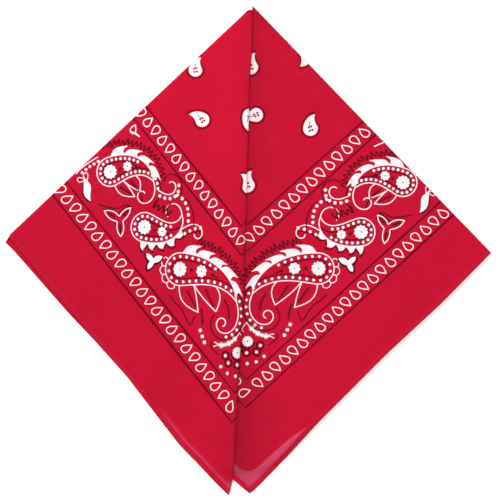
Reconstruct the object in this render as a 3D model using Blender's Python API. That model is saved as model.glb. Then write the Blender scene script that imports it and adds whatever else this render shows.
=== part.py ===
"""Cotton bandana, folded flat.

A hemmed square of thin woven cotton is folded on its diagonal, and its two
sharp corners are then folded in, the left one to the front and the right one
to the back.  The result is a square of four layers that stands on one point:
the front flap lies on the left half, the front corner shows on the right half,
and the underside is the same arrangement turned round.

Every piece is a cloth wall lofted through level sections, each section worked
out from the outline at that height and from the level of its layer.  All
lengths below are millimetres; the mesh is written in metres.  +Z is up, the
fold point is at +Y, and the underside rests on z = 0.
"""

import math
from collections import namedtuple

import bpy

MM = 0.001

# ---------------------------------------------------------------- dimensions
CUT_SIDE = 550.0  # hemmed square, opened out flat
HALF_SIDE = CUT_SIDE / 2.0  # side of the folded square
WALL = 1.0  # cloth wall
GAP = 0.3  # air between pieces
HEM_WIDTH = 4.0  # turned hem
HEM_THICK = 1.2

BACK_LEVEL = WALL / 2.0  # middle of the wall that rests on the table
BACK_TONGUE = 1.72  # back corner where it passes over the back flap
FRONT_LEVEL = 3.9  # middle of the front wall
FRONT_TONGUE = 3.27  # front corner where it passes under the front flap
CREST_LEVEL = 5.15  # front flap beside its own fold
SINGLE_LEVEL = 0.5  # a single layer lying on the table
UPPER_LIP, LOWER_LIP = 2.52, 1.78  # where the two halves of a rolled edge meet
CORE_BOTTOM, CORE_TOP = 1.3, 3.1
CORE_BOTTOM_HIGH, CORE_TOP_LOW = 2.42, 2.45

TONGUE = 14.0  # how far a corner reaches past the centre under a flap
ROLL_RUN = 3.4  # width of a rounded fold, seen from above
FOLD_RUN = 2.6  # width of the front flap's own fold
CREST_RUN = 34.0  # distance over which the front flap climbs to its fold
DROP_RUN = 9.0  # distance over which a layer falls to the table

TOP_Y = 196.0
LAYERS_END_Y = -177.0  # the lower layers stop short of the front tips
FLAP_TIP_Y = -196.0
CORNER_TIP_Y = -194.6
MIDDLE_X, MIDDLE_Y = -0.85, 0.35  # middle of the outline, which is the origin

Knot = namedtuple("Knot", "y x")

# Outline of the front flap, from the top point down its left side.
FLAP_LEFT = (
    Knot(TOP_Y, 3.4),
    Knot(104.5, -93.8),
    Knot(12.6, -191.2),
    Knot(7.8, -188.3),
    Knot(-39.5, -149.0),
    Knot(-72.6, -120.5),
    Knot(-94.6, -101.8),
    Knot(-118.2, -83.8),
    Knot(-134.7, -71.0),
    Knot(-156.4, -54.4),
    Knot(-170.4, -40.4),
    Knot(-185.8, -26.4),
    Knot(FLAP_TIP_Y, -15.7),
)

# The front flap's own fold, down the middle.
FLAP_FOLD = (
    Knot(TOP_Y, 3.4),
    Knot(160.0, 3.0),
    Knot(125.0, 0.6),
    Knot(26.0, -1.6),
    Knot(-8.0, -3.3),
    Knot(-39.5, -2.7),
    Knot(-80.0, -6.4),
    Knot(-130.0, -8.8),
    Knot(-170.0, -10.9),
    Knot(-186.0, -13.1),
    Knot(FLAP_TIP_Y, -15.6),
)

# Right side of the front corner, from the top point down.
CORNER_RIGHT = (
    Knot(TOP_Y, 3.4),
    Knot(97.2, 98.9),
    Knot(-1.6, 194.5),
    Knot(-42.2, 154.5),
    Knot(-82.4, 111.1),
    Knot(-137.3, 56.3),
    Knot(-164.1, 32.1),
    Knot(-190.9, 5.9),
    Knot(CORNER_TIP_Y, 1.6),
)

# Left side of the front corner's tip; above it the flap hides the rest.
CORNER_LEFT = (
    Knot(-150.0, -42.0),
    Knot(-170.0, -26.0),
    Knot(-184.2, -12.6),
    Knot(CORNER_TIP_Y, -1.0),
)

# Outline of the lower layers, left and right of the centre.
LAYERS_LEFT = (
    Knot(TOP_Y, 3.4),
    Knot(12.6, -191.2),
    Knot(6.3, -194.5),
    Knot(0.5, -188.3),
    Knot(-50.6, -143.7),
    Knot(-71.5, -123.7),
    Knot(-94.2, -103.0),
    Knot(-126.7, -74.5),
    Knot(-148.7, -52.6),
    Knot(-171.7, -33.0),
    Knot(LAYERS_END_Y, -26.0),
)
LAYERS_RIGHT = (
    Knot(TOP_Y, 3.4),
    Knot(-1.6, 193.0),
    Knot(-42.2, 152.3),
    Knot(-82.4, 109.0),
    Knot(-137.3, 52.5),
    Knot(-153.2, 33.4),
    Knot(-165.4, 20.6),
    Knot(-174.6, 7.0),
    Knot(LAYERS_END_Y, 0.4),
)

# The back flap's own fold, on the underside.
BACK_FOLD = (
    Knot(TOP_Y, 4.4),
    Knot(150.0, 6.0),
    Knot(0.0, 6.4),
    Knot(-120.0, 5.0),
    Knot(LAYERS_END_Y, 1.5),
)

CLOTH_RED = (0.557, 0.006, 0.030, 1.0)
HEM_RED = (0.500, 0.005, 0.027, 1.0)
CORE_RED = (0.430, 0.004, 0.022, 1.0)


# ------------------------------------------------------------------- helpers
def at(table, y):
    """x of an outline at the level y, straight between its knots."""
    if y >= table[0].y:
        return table[0].x
    for a, b in zip(table, table[1:]):
        if y >= b.y:
            return a.x + (b.x - a.x) * (a.y - y) / (a.y - b.y)
    return table[-1].x


def slope(table, y, reach=3.0):
    return (at(table, y + reach) - at(table, y - reach)) / (2.0 * reach)


def moved_in(table, y, inset):
    """Level distance that moves an outline in by inset, square to itself."""
    return inset * math.hypot(1.0, slope(table, y))


def ease(t):
    t = max(0.0, min(1.0, t))
    return t * t * (3.0 - 2.0 * t)


def mix(a, b, t):
    return a + (b - a) * t


def levels(*stops):
    """Section levels: each stop is (y, number of steps to the next stop)."""
    out = []
    for (y, steps), (nxt, _) in zip(stops, stops[1:]):
        out += [mix(y, nxt, i / steps) for i in range(steps)]
    return out + [stops[-1][0]]


def drop(x, y, side):
    """0 on the stack, 1 where a front layer has left the lower layers."""
    if side == "right":
        out = (x - at(LAYERS_RIGHT, y)) * 0.7 if y < -137.0 else 0.0
        return ease(max(out, LAYERS_END_Y - y + 6.0) / DROP_RUN)
    out = (at(LAYERS_LEFT, y) - x) * 0.7 if y < -120.0 else 0.0
    return ease(max(out, LAYERS_END_Y - y + 1.5) / (1.3 * DROP_RUN))


def wall(path, half, floor=0.0):
    """Closed ring round an open path in the (x, z) plane."""
    upper, lower = [], []
    for i, (x, z) in enumerate(path):
        a, b = path[max(i - 1, 0)], path[min(i + 1, len(path) - 1)]
        dx, dz = b[0] - a[0], b[1] - a[1]
        run = math.hypot(dx, dz)
        nx, nz = -dz / run, dx / run
        upper.append((x + nx * half, z + nz * half))
        lower.append((x - nx * half, max(floor, z - nz * half)))
    return upper, lower


def loft(name, sections, colour, roughness=0.9):
    """A closed solid through sections, each (y, upper side, lower side)."""
    count = len(sections[0][1])
    verts, faces = [], []
    for y, upper, lower in sections:
        verts += [(x * MM, y * MM, z * MM) for x, z in upper]
        verts += [(x * MM, y * MM, z * MM) for x, z in reversed(lower)]
    ring = 2 * count
    for s in range(len(sections) - 1):
        a, b = s * ring, (s + 1) * ring
        for i in range(ring):
            j = (i + 1) % ring
            faces.append((a + i, b + i, b + j, a + j))
    for s, turned in ((0, False), (len(sections) - 1, True)):
        a = s * ring
        for i in range(count - 1):
            quad = (a + i, a + i + 1, a + ring - 2 - i, a + ring - 1 - i)
            faces.append(quad[::-1] if turned else quad)
    return body(name, verts, faces, colour, roughness)


def body(name, verts, faces, colour, roughness):
    mesh = bpy.data.meshes.new(name)
    mesh.from_pydata(verts, [], faces)
    mesh.validate()
    ob = bpy.data.objects.new(name, mesh)
    ob.location = (-MIDDLE_X * MM, -MIDDLE_Y * MM, 0.0)
    cloth.objects.link(ob)
    mat = bpy.data.materials.new(name + "_cloth")
    mat.use_nodes = True
    shader = mat.node_tree.nodes["Principled BSDF"]
    shader.inputs["Base Color"].default_value = colour
    shader.inputs["Roughness"].default_value = roughness
    shader.inputs["Metallic"].default_value = 0.0
    mat.diffuse_color = colour
    mesh.materials.append(mat)
    return ob


def sweep(name, line, width, thick, colour, tip=1.0):
    """A hem: a flattened round strip along line, a list of (x, y, z)."""
    sides = 8
    full = width
    verts, faces = [], []
    for i, (x, y, z) in enumerate(line):
        a, b = line[max(i - 1, 0)], line[min(i + 1, len(line) - 1)]
        dx, dy = b[0] - a[0], b[1] - a[1]
        run = math.hypot(dx, dy)
        nx, ny = -dy / run, dx / run
        width = full * (tip if i == len(line) - 1 else 1.0)
        for k in range(sides):
            turn = 2.0 * math.pi * (k + 0.5) / sides
            across = math.copysign(abs(math.cos(turn)) ** 0.6, math.cos(turn))
            up = math.copysign(abs(math.sin(turn)) ** 0.6, math.sin(turn))
            w, h = across / 0.954 * width / 2.0, up / 0.954 * thick / 2.0
            verts.append(((x + nx * w) * MM, (y + ny * w) * MM, (z + h) * MM))
    for s in range(len(line) - 1):
        a, b = s * sides, (s + 1) * sides
        for k in range(sides):
            j = (k + 1) % sides
            faces.append((a + k, a + j, b + j, b + k))
    last = (len(line) - 1) * sides
    faces.append(tuple(range(sides))[::-1])
    faces.append(tuple(range(last, last + sides)))
    return body(name, verts, faces, colour, 0.92)


# ------------------------------------------------------------- front of cloth
def flap_level(x, y):
    """Middle of the front flap's wall above a point of the plan."""
    climb = ease((x - (at(FLAP_FOLD, y) - CREST_RUN)) / CREST_RUN)
    high = FRONT_LEVEL + (CREST_LEVEL - FRONT_LEVEL) * climb
    return mix(high, mix(1.85, 2.0, climb), drop(x, y, "left"))


def front_level(x, y):
    """Middle of the front corner's wall above a point of the plan."""
    rise = ease((x - at(FLAP_FOLD, y) + 2.0) / 14.0)
    high = mix(FRONT_TONGUE, FRONT_LEVEL, rise)
    return mix(high, SINGLE_LEVEL, drop(x, y, "right"))


def front_flap():
    rows = []
    for y in levels((194.2, 10), (18.0, 2), (12.0, 2), (6.0, 9), (-120.0, 4), (-168.0, 5), (-188.5, 1)):
        fold = at(FLAP_FOLD, y)
        left = at(FLAP_LEFT, y)
        hemmed = ease((10.5 - y) / 4.0)
        left += hemmed * moved_in(FLAP_LEFT, y, HEM_WIDTH + 2 * GAP)
        span = fold - left
        run = min(ROLL_RUN, span * 0.22)
        turn = min(FOLD_RUN, span * 0.22)
        path = []
        for k in (0.0, 0.35, 0.7, 1.0):
            ang = k * math.pi / 2.0
            x = left + WALL / 2.0 * (1 - hemmed) + run * (1.0 - math.cos(ang))
            rolled = mix(UPPER_LIP, flap_level(left + run, y), math.sin(ang))
            path.append((x, mix(rolled, flap_level(x, y), hemmed)))
        start, stop = left + run + WALL / 2.0, fold - WALL / 2.0 - turn
        for k in (0.22, 0.42, 0.6, 0.75, 0.87, 0.95, 1.0):
            x = mix(start, stop, k)
            path.append((x, flap_level(x, y)))
        crest = path[-1][1]
        end = crest - 0.9 if y > LAYERS_END_Y else crest - 0.6
        for k in (0.4, 0.75, 1.0):
            ang = k * math.pi / 2.0
            path.append((stop + turn * math.sin(ang), mix(end, crest, math.cos(ang))))
        rows.append((y, *wall(path, WALL / 2.0)))
    return loft("front_flap", rows, CLOTH_RED)


def front_corner():
    rows = []
    for y in levels((193.4, 11), (2.5, 2), (-4.0, 8), (-130.0, 4), (-165.0, 5), (-186.0, 1)):
        fold = at(FLAP_FOLD, y)
        right = at(CORNER_RIGHT, y)
        hemmed = ease((1.0 - y) / 4.0)
        right -= hemmed * moved_in(CORNER_RIGHT, y, HEM_WIDTH + 2 * GAP)
        span = right - fold
        left = fold - min(TONGUE, max(0.0, span) * 0.3)
        if y < -150.0:
            left = max(left, at(CORNER_LEFT, y) + moved_in(CORNER_LEFT, y, HEM_WIDTH + GAP))
        run = min(ROLL_RUN, max(span, 4.0) * 0.22)
        stop = right - run - WALL / 2.0
        scale = min(1.0, span / 48.0)
        stations = [left] + [fold + k * scale for k in (-3.0, 3.0, 8.0, 13.0)]
        stations = [max(x, left + 0.5 * i) for i, x in enumerate(stations)]
        stations += [mix(stations[-1], stop, k) for k in (0.25, 0.5, 0.75, 1.0)]
        path = [(x, front_level(x, y)) for x in stations]
        for k in (0.3, 0.65, 1.0):
            ang = k * math.pi / 2.0
            x = stop + (run + WALL / 2.0 * hemmed) * math.sin(ang)
            rolled = mix(UPPER_LIP, path[8][1], math.cos(ang))
            path.append((x, mix(rolled, front_level(x, y), hemmed)))
        rows.append((y, *wall(path, WALL / 2.0)))
    return loft("front_corner", rows, CLOTH_RED)


# ------------------------------------------------------------ underside cloth
def back_level(x, y):
    """Middle of the back corner's wall: it climbs over the back flap."""
    rise = ease((x - at(BACK_FOLD, y) + 8.0) / 10.0)
    return mix(BACK_LEVEL, BACK_TONGUE, rise)


def back_corner():
    rows = []
    for y in levels((191.5, 10), (16.0, 2), (8.0, 2), (2.0, 8), (-120.0, 7), (-170.0, 1)):
        fold = at(BACK_FOLD, y)
        left = at(LAYERS_LEFT, y)
        hemmed = ease((8.0 - y) / 4.0)
        left += hemmed * moved_in(LAYERS_LEFT, y, HEM_WIDTH + 2 * GAP)
        span = fold - left
        right = fold + min(TONGUE, span * 0.25)
        if y < -150.0:
            right = min(right, at(LAYERS_RIGHT, y) - 4.0)
        run = min(ROLL_RUN, span * 0.22)
        path = []
        for k in (0.0, 0.35, 0.7, 1.0):
            ang = k * math.pi / 2.0
            x = left + WALL / 2.0 * (1 - hemmed) + run * (1.0 - math.cos(ang))
            rolled = mix(LOWER_LIP, BACK_LEVEL, math.sin(ang))
            path.append((x, mix(rolled, BACK_LEVEL, hemmed)))
        start = path[-1][0]
        near = max(fold - 16.0, mix(start, right, 0.55))
        for k in (0.3, 0.65):
            path.append((mix(start, near, k), BACK_LEVEL))
        for k in (0.0, 0.25, 0.5, 0.75, 1.0):
            x = mix(near, right, k)
            path.append((x, back_level(x, y)))
        rows.append((y, *wall(path, WALL / 2.0)))
    return loft("back_corner", rows, CLOTH_RED)


def back_flap():
    rows = []
    for y in levels((189.0, 11), (0.0, 2), (-6.0, 8), (-130.0, 7), (-168.0, 1)):
        fold = at(BACK_FOLD, y) + GAP
        right = at(LAYERS_RIGHT, y)
        hemmed = ease((-2.0 - y) / 4.0)
        right -= hemmed * moved_in(LAYERS_RIGHT, y, HEM_WIDTH + 2 * GAP)
        span = right - fold
        run = min(ROLL_RUN, span * 0.22)
        path = [(fold + WALL / 2.0, BACK_LEVEL), (mix(fold, right, 0.25), BACK_LEVEL)]
        stop = right - run - WALL / 2.0
        for k in (0.5, 0.78):
            path.append((mix(fold, right, k), BACK_LEVEL))
        for k in (0.0, 0.3, 0.65, 1.0):
            ang = k * math.pi / 2.0
            x = stop + (run + WALL / 2.0 * hemmed) * math.sin(ang)
            rolled = mix(LOWER_LIP, BACK_LEVEL, math.cos(ang))
            path.append((x, mix(rolled, BACK_LEVEL, hemmed)))
        path.sort()
        rows.append((y, *wall(path, WALL / 2.0)))
    return loft("back_flap", rows, CLOTH_RED)


# --------------------------------------------------------------- inner layers
def inner_layers():
    """The hidden layers as one rounded solid, two leaves at its open edges."""
    rows = []
    for y in levels((167.0, 8), (20.0, 2), (0.0, 9), (-130.0, 6), (-168.5, 1)):
        ff, bf = at(FLAP_FOLD, y), at(BACK_FOLD, y)
        inset_l = mix(6.5, 1.2, ease((6.0 - y) / 12.0)) * 1.4
        inset_r = mix(6.5, 1.6, ease((-2.0 - y) / 12.0)) * 1.4
        left = at(LAYERS_LEFT, y) + inset_l
        if y < 8.0:
            left = max(left, at(FLAP_LEFT, y) + 1.0) if y > -110 else left
        right = at(LAYERS_RIGHT, y) - inset_r
        soft = min(1.0, (y + 180.0) / 8.0)
        upper, lower = [], []
        mid = [ff - 18.0, ff - 6.0, ff + 1.0, max(ff + 9.0, bf + 2.0), bf + 18.0]
        lo, hi = left + 4.0, right - 4.0
        mid = [min(max(m, lo + (i + 1) * 0.4), hi - (6 - i) * 0.4) for i, m in enumerate(mid)]
        xs = [lo - 2.0, mix(lo, mid[0], 0.5)] + mid + [mix(mid[-1], hi, 0.5), hi + 2.0]
        for x in xs:
            top = mix(CORE_TOP_LOW, CORE_TOP, ease((x - ff + 2.0) / 10.0))
            if x < ff - TONGUE - 4.0:
                top = mix(CORE_TOP, CORE_TOP_LOW, ease((x - (ff - 34.0)) / 16.0))
            bottom = mix(CORE_BOTTOM, CORE_BOTTOM_HIGH, ease((x - bf + 11.0) / 12.0))
            if x > bf + TONGUE + 4.0:
                bottom = mix(CORE_BOTTOM_HIGH, CORE_BOTTOM, ease((x - bf - 19.0) / 16.0))
            middle = (top + bottom) / 2.0
            upper.append((x, mix(middle, top, 0.75 + 0.25 * soft)))
            lower.append((x, mix(middle, bottom, 0.75 + 0.25 * soft)))
        edge_l = [(lo - 3.2, 2.95), (lo - 3.9, 2.62), (lo - 2.6, 2.2), (lo - 3.9, 1.78), (lo - 3.2, 1.45)]
        edge_r = [(hi + 3.2, 2.95), (hi + 3.9, 2.62), (hi + 2.6, 2.2), (hi + 3.9, 1.78), (hi + 3.2, 1.45)]
        upper = [edge_l[2], edge_l[1], edge_l[0]] + upper + [edge_r[0], edge_r[1], edge_r[2]]
        lower = [(edge_l[2][0], edge_l[2][1] - 0.05), edge_l[3], edge_l[4]] + lower
        lower += [edge_r[4], edge_r[3], (edge_r[2][0], edge_r[2][1] - 0.05)]
        rows.append((y, upper, lower))
    return loft("inner_layers", rows, CORE_RED)


# ----------------------------------------------------------------------- hems
def edge_line(table, side, ys, level, inset):
    """Points along an outline, moved in from it by inset."""
    line = []
    for y in ys:
        x = at(table, y)
        lean = slope(table, y)
        run = math.hypot(1.0, lean)
        # The inward normal of the outline at this level.
        nx, ny = (1.0 / run, -lean / run) if side == "left" else (-1.0 / run, lean / run)
        px, py = x + nx * inset, y + ny * inset
        line.append((px, py, level(px, py)))
    return line


def hems():
    half = HEM_WIDTH / 2.0
    sweep(
        "front_flap_hem",
        edge_line(FLAP_LEFT, "left", levels((1.5, 6), (-120.0, 5), (-189.0, 1), (-194.0, 1)),
                  lambda x, y: flap_level(x, y) + 0.1, half),
        HEM_WIDTH, HEM_THICK, HEM_RED, 0.55,
    )
    sweep(
        "front_corner_hem",
        edge_line(CORNER_RIGHT, "right", levels((-8.0, 6), (-130.0, 6), (-188.0, 1), (-193.0, 1)),
                  lambda x, y: front_level(x, y) + 0.1, half),
        HEM_WIDTH, HEM_THICK, HEM_RED, 0.7,
    )
    sweep(
        "front_corner_hem_left",
        edge_line(CORNER_LEFT, "left", levels((-174.0, 3), (-187.5, 1)),
                  lambda x, y: 0.6, half),
        HEM_WIDTH, 1.0, HEM_RED,
    )
    sweep(
        "back_corner_hem",
        edge_line(LAYERS_LEFT, "left", levels((0.0, 8), (-166.0, 1)),
                  lambda x, y: 0.56, half),
        HEM_WIDTH, 1.1, HEM_RED,
    )
    sweep(
        "back_flap_hem",
        edge_line(LAYERS_RIGHT, "right", levels((-9.5, 8), (-160.0, 1)),
                  lambda x, y: 0.56, half),
        HEM_WIDTH, 1.1, HEM_RED,
    )


for old in list(bpy.data.objects):
    bpy.data.objects.remove(old)

cloth = bpy.data.collections.new("bandana")
bpy.context.scene.collection.children.link(cloth)

front_flap()
front_corner()
inner_layers()
back_corner()
back_flap()
hems()
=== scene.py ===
import math

import bmesh
import bpy
import numpy as np
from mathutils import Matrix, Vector
from mathutils.geometry import delaunay_2d_cdt


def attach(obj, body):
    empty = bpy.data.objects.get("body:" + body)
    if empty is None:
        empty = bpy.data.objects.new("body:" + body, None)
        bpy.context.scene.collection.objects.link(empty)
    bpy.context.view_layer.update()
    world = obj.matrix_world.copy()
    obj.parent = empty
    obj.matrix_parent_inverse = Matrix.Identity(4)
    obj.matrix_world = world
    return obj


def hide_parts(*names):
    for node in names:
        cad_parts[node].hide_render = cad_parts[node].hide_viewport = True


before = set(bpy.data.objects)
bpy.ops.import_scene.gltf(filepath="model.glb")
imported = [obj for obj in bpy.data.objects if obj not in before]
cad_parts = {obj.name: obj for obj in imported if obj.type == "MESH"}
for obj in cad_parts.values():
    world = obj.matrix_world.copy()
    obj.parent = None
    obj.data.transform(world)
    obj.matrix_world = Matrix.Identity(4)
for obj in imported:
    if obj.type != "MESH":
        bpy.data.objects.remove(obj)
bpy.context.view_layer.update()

# The bandana lies folded to a quarter, point down, seen from straight above.
# Lengths are millimetres in the plan of the folded square, x to the right and
# y towards the top point, with the frame's origin at (-0.85, 0.35).
# The print is drawn in its own units of 0.8 mm, u to the right and v down.
MM = 0.001
UNIT = 0.8
MID_X, MID_Y = -0.85, 0.35
RED, WHITE, DARK = 0, 1, 2


def plan(points):
    """Print units to plan millimetres."""
    p = np.asarray(points, float).reshape(-1, 2)
    return np.column_stack([(p[:, 0] - 248.2) * UNIT, (250.6 - p[:, 1]) * UNIT])


# ============================================================ outline and levels
FLAP_LEFT = plan([(252.5, 5.5), (130.9, 120.0), (9.2, 234.8), (12.8, 240.8), (61.9, 300.0),
                  (97.5, 341.3), (121.0, 368.8), (143.5, 398.3), (159.4, 419.0), (180.2, 446.1),
                  (197.7, 463.6), (215.2, 482.8), (228.6, 495.6)])
FLAP_FOLD = plan([(252.5, 5.5), (252.3, 30), (252.0, 50), (249.6, 80), (248.8, 120), (247.2, 170),
                  (246.2, 218), (244.1, 254), (244.6, 300), (241.5, 323), (240.2, 351), (238.6, 378),
                  (237.2, 405), (235.7, 425), (234.6, 460), (233.2, 478), (231.4, 486), (228.8, 495.6)])
CORNER_RIGHT = plan([(252.5, 5.5), (371.5, 129.0), (491.3, 252.6), (441.3, 303.4), (387.1, 353.6),
                     (318.6, 422.2), (288.3, 455.7), (255.6, 489.2), (249.6, 494.0)])
CORNER_LEFT = plan([(180.0, 424.0), (215.0, 458.0), (232.4, 479.6), (249.4, 494.0)])
LAYERS_LEFT = plan([(252.5, 5.5), (9.2, 234.8), (5.1, 242.7), (12.8, 250.0), (68.6, 313.8),
                    (93.6, 340.0), (119.0, 368.3), (155.0, 409.0), (183.4, 436.5), (207.3, 465.2),
                    (216.0, 471.8)])
LAYERS_RIGHT = plan([(252.5, 5.5), (371.0, 129.6), (489.4, 252.6), (438.6, 303.4), (384.5, 353.6),
                     (313.8, 422.2), (290.0, 442.1), (274.0, 457.3), (257.0, 468.9), (248.7, 471.8)])
BACK_FOLD = np.array([(4.4, 196.0), (6.0, 150.0), (6.4, 0.0), (5.0, -120.0), (1.5, -177.0)])

FRONT, TONGUE, CREST = 4.4, 3.77, 5.65  # top of the front cloth
BACK, BACK_TONGUE = 0.0, 1.22  # bottom of the back cloth
MIDDLE = 2.15


def x_at(table, y):
    """x of an outline at the level y."""
    return np.interp(-np.asarray(y, float), -table[:, 1], table[:, 0])


def ease(t):
    t = np.clip(t, 0.0, 1.0)
    return t * t * (3.0 - 2.0 * t)


def mix(a, b, t):
    return a + (b - a) * t


def waves(x, y, length, seed, count=7):
    """A soft, uneven field between about -1 and 1."""
    r = np.random.default_rng(seed)
    total = np.zeros_like(np.asarray(x, float))
    for _ in range(count):
        angle, phase = r.uniform(0, math.tau, 2)
        k = math.tau / (length * r.uniform(0.7, 1.6))
        bend = 0.6 * np.sin(k * 0.45 * (x * math.sin(angle) - y * math.cos(angle)) + phase * 2.3)
        total += np.sin(k * (x * math.cos(angle) + y * math.sin(angle)) + phase + bend)
    return total / math.sqrt(count) / 1.4


def path_distance(x, y, path):
    """Distance to a polyline, and how far along it the nearest point is, 0 to 1."""
    x, y = np.asarray(x, float), np.asarray(y, float)
    best = np.full(x.shape, 1e9)
    where = np.zeros(x.shape)
    lengths = np.hypot(*np.diff(path, axis=0).T)
    start, total = 0.0, lengths.sum()
    for (ax, ay), (bx, by), run in zip(path, path[1:], lengths):
        if run < 1e-9:
            continue
        t = np.clip(((x - ax) * (bx - ax) + (y - ay) * (by - ay)) / run**2, 0, 1)
        d = np.hypot(x - ax - t * (bx - ax), y - ay - t * (by - ay))
        nearer = d < best
        best[nearer] = d[nearer]
        where[nearer] = (start + t[nearer] * run) / total
        start += run
    return best, where


# Creases, listed one by one: from, to, half width, height (negative is a trough).
FLAP_CREASES = (
    ((215, 60), (80, 180), 7.0, 0.10), ((236, 150), (150, 330), 9.0, -0.12),
    ((226, 250), (180, 400), 6.0, 0.10), ((30, 240), (120, 330), 6.0, -0.10),
    ((150, 400), (226, 470), 5.0, 0.14), ((120, 345), (215, 455), 4.0, -0.10),
    ((185, 425), (232, 488), 3.0, 0.12), ((60, 215), (200, 300), 12.0, 0.10),
)
CORNER_CREASES = (
    ((262, 30), (300, 95), 3.0, 0.10), ((268, 50), (345, 160), 4.0, -0.08),
    ((292, 78), (318, 118), 2.5, 0.08), ((255, 150), (300, 215), 5.0, -0.10),
    ((400, 250), (290, 330), 9.0, 0.10), ((470, 250), (330, 395), 7.0, -0.10),
    ((252, 400), (330, 360), 5.0, 0.10), ((255, 430), (300, 400), 3.0, -0.10),
    ((256, 445), (300, 418), 3.0, 0.12), ((262, 470), (300, 440), 2.5, 0.14),
    ((370, 140), (300, 230), 10.0, 0.08),
)


def crease_field(x, y, creases):
    total = np.zeros_like(np.asarray(x, float))
    for a, b, width, height in creases:
        ends = plan([a, b])
        steps = np.linspace(0, 1, 9)[:, None]
        line = ends[0] + steps * (ends[1] - ends[0])
        line = line + 1.4 * np.column_stack([waves(line[:, 0], line[:, 1], 60, int(a[0])),
                                             waves(line[:, 0], line[:, 1], 60, int(b[1]))])
        d, t = path_distance(x, y, line)
        fade = np.sin(np.pi * np.clip(t, 0.0, 1.0)) ** 0.6
        total += 2.2 * height * np.exp(-((d / width) ** 2)) * fade
    return total


def soft_relief(x, y, seed):
    return 0.16 * waves(x, y, 46.0, seed) + 0.06 * waves(x, y, 15.0, seed + 1) + 0.02 * waves(x, y, 6.5, seed + 2)


def off_layers(x, y, side):
    """How far, 0 to 1, a front layer has come down off the lower layers."""
    if side == "right":
        out = np.where(y < -137.0, (x - x_at(LAYERS_RIGHT, y)) * 0.7, 0.0)
        return ease(np.maximum(out, -177.0 - y + 5.0) / 9.0)
    out = np.where(y < -120.0, (x_at(LAYERS_LEFT, y) - x) * 0.7, 0.0)
    return ease(np.maximum(out / 11.7, (-177.0 - y + 5.0) / 9.0))


def rolled(z, d, reach, down_to):
    """Takes a level over a rounded edge, d from the edge, to down_to."""
    t = np.clip(1.0 - d / reach, 0.0, 1.0)
    return z - (z - down_to) * (1.0 - np.sqrt(np.clip(1.0 - t * t, 0.0, 1.0)))


def sewn_line(d, x, y, width=4.2):
    """The cloth dips and puckers where the hem is sewn to it."""
    pucker = 1.0 + 0.5 * np.sin((x - y) * 1.35) * np.sin((x + y) * 1.31)
    return -0.15 * pucker * np.exp(-(((d - width - 0.1) / 0.8) ** 2))


def bent(p0, p1, p2, p3, count):
    """Points from p1 towards p2 on a smooth curve through all four."""
    a, b, c = (max(float(np.hypot(*(q - p))), 1e-6) ** 0.5 for p, q in ((p0, p1), (p1, p2), (p2, p3)))
    m1 = p2 - p1 + b * ((p1 - p0) / a - (p2 - p0) / (a + b))
    m2 = p2 - p1 + b * ((p3 - p2) / c - (p3 - p1) / (b + c))
    t = (np.arange(count) / count)[:, None]
    return ((2 * t**3 - 3 * t**2 + 1) * p1 + (t**3 - 2 * t**2 + t) * m1 + (3 * t**2 - 2 * t**3) * p2
            + (t**3 - t**2) * m2)


def smooth_line(points, step):
    """A smooth open line through points, evenly stepped."""
    p = np.asarray(points, float)
    pad = np.vstack([2 * p[0] - p[1], p, 2 * p[-1] - p[-2]])
    out = []
    for i in range(1, len(pad) - 2):
        count = max(2, int(math.ceil(np.hypot(*(pad[i + 1] - pad[i])) / step)))
        out.append(bent(*pad[i - 1:i + 3], count))
    return np.vstack(out + [p[-1:]])


def edge_line(points, step=2.0):
    """An edge of the cloth: evenly stepped, its corners a little eased."""
    p = np.asarray(points, float)
    run = np.r_[0, np.cumsum(np.hypot(*np.diff(p, axis=0).T))]
    at = np.linspace(0, run[-1], max(3, int(run[-1] / step)))
    q = np.column_stack([np.interp(at, run, p[:, 0]), np.interp(at, run, p[:, 1])])
    for _ in range(6):
        q[1:-1] = (q[:-2] + 2 * q[1:-1] + q[2:]) / 4
    return q


# Edges of the four cloth faces, as lines in the plan.
flap_top_edge = edge_line(FLAP_LEFT[:3])
flap_hem_edge = edge_line(FLAP_LEFT[2:])
flap_fold_edge = edge_line(FLAP_FOLD)
corner_top_edge = edge_line(CORNER_RIGHT[:3])
corner_hem_edge = edge_line(CORNER_RIGHT[2:])
corner_left_hem = edge_line(CORNER_LEFT)
back_top_edge = edge_line(LAYERS_LEFT[:3])
back_hem_edge = edge_line(LAYERS_LEFT[2:])
back_flap_top = edge_line(LAYERS_RIGHT[:3])
back_flap_hem = edge_line(LAYERS_RIGHT[2:])
back_fold_edge = edge_line(BACK_FOLD)


def flap_z(x, y):
    climb = ease((x - (x_at(FLAP_FOLD, y) - 34.0)) / 34.0)
    z = FRONT + (CREST - FRONT) * climb
    z = mix(z, mix(2.35, 2.5, climb), off_layers(x, y, "left"))
    z = z + soft_relief(x, y, 3) + crease_field(x, y, FLAP_CREASES)
    z = z + sewn_line(path_distance(x, y, flap_hem_edge)[0], x, y)
    fold = path_distance(x, y, flap_fold_edge)[0]
    z = rolled(z, fold, 2.6, z - np.where(y > -177, 1.25, 0.8))
    return rolled(z, path_distance(x, y, flap_top_edge)[0], 2.3, MIDDLE)


def corner_z(x, y):
    rise = ease((x - x_at(FLAP_FOLD, y) + 6.0) / 14.0)
    z = mix(TONGUE, FRONT, rise)
    z = mix(z, 1.0, off_layers(x, y, "right"))
    soft = ease((x - x_at(FLAP_FOLD, y)) / 10.0)
    z = z + soft * (soft_relief(x, y, 11) + crease_field(x, y, CORNER_CREASES))
    z = z + sewn_line(path_distance(x, y, corner_hem_edge)[0], x, y) * soft
    z = z + np.where(y < -165, sewn_line(path_distance(x, y, corner_left_hem)[0], x, y), 0.0)
    return rolled(z, path_distance(x, y, corner_top_edge)[0], 2.3, MIDDLE)


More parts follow.
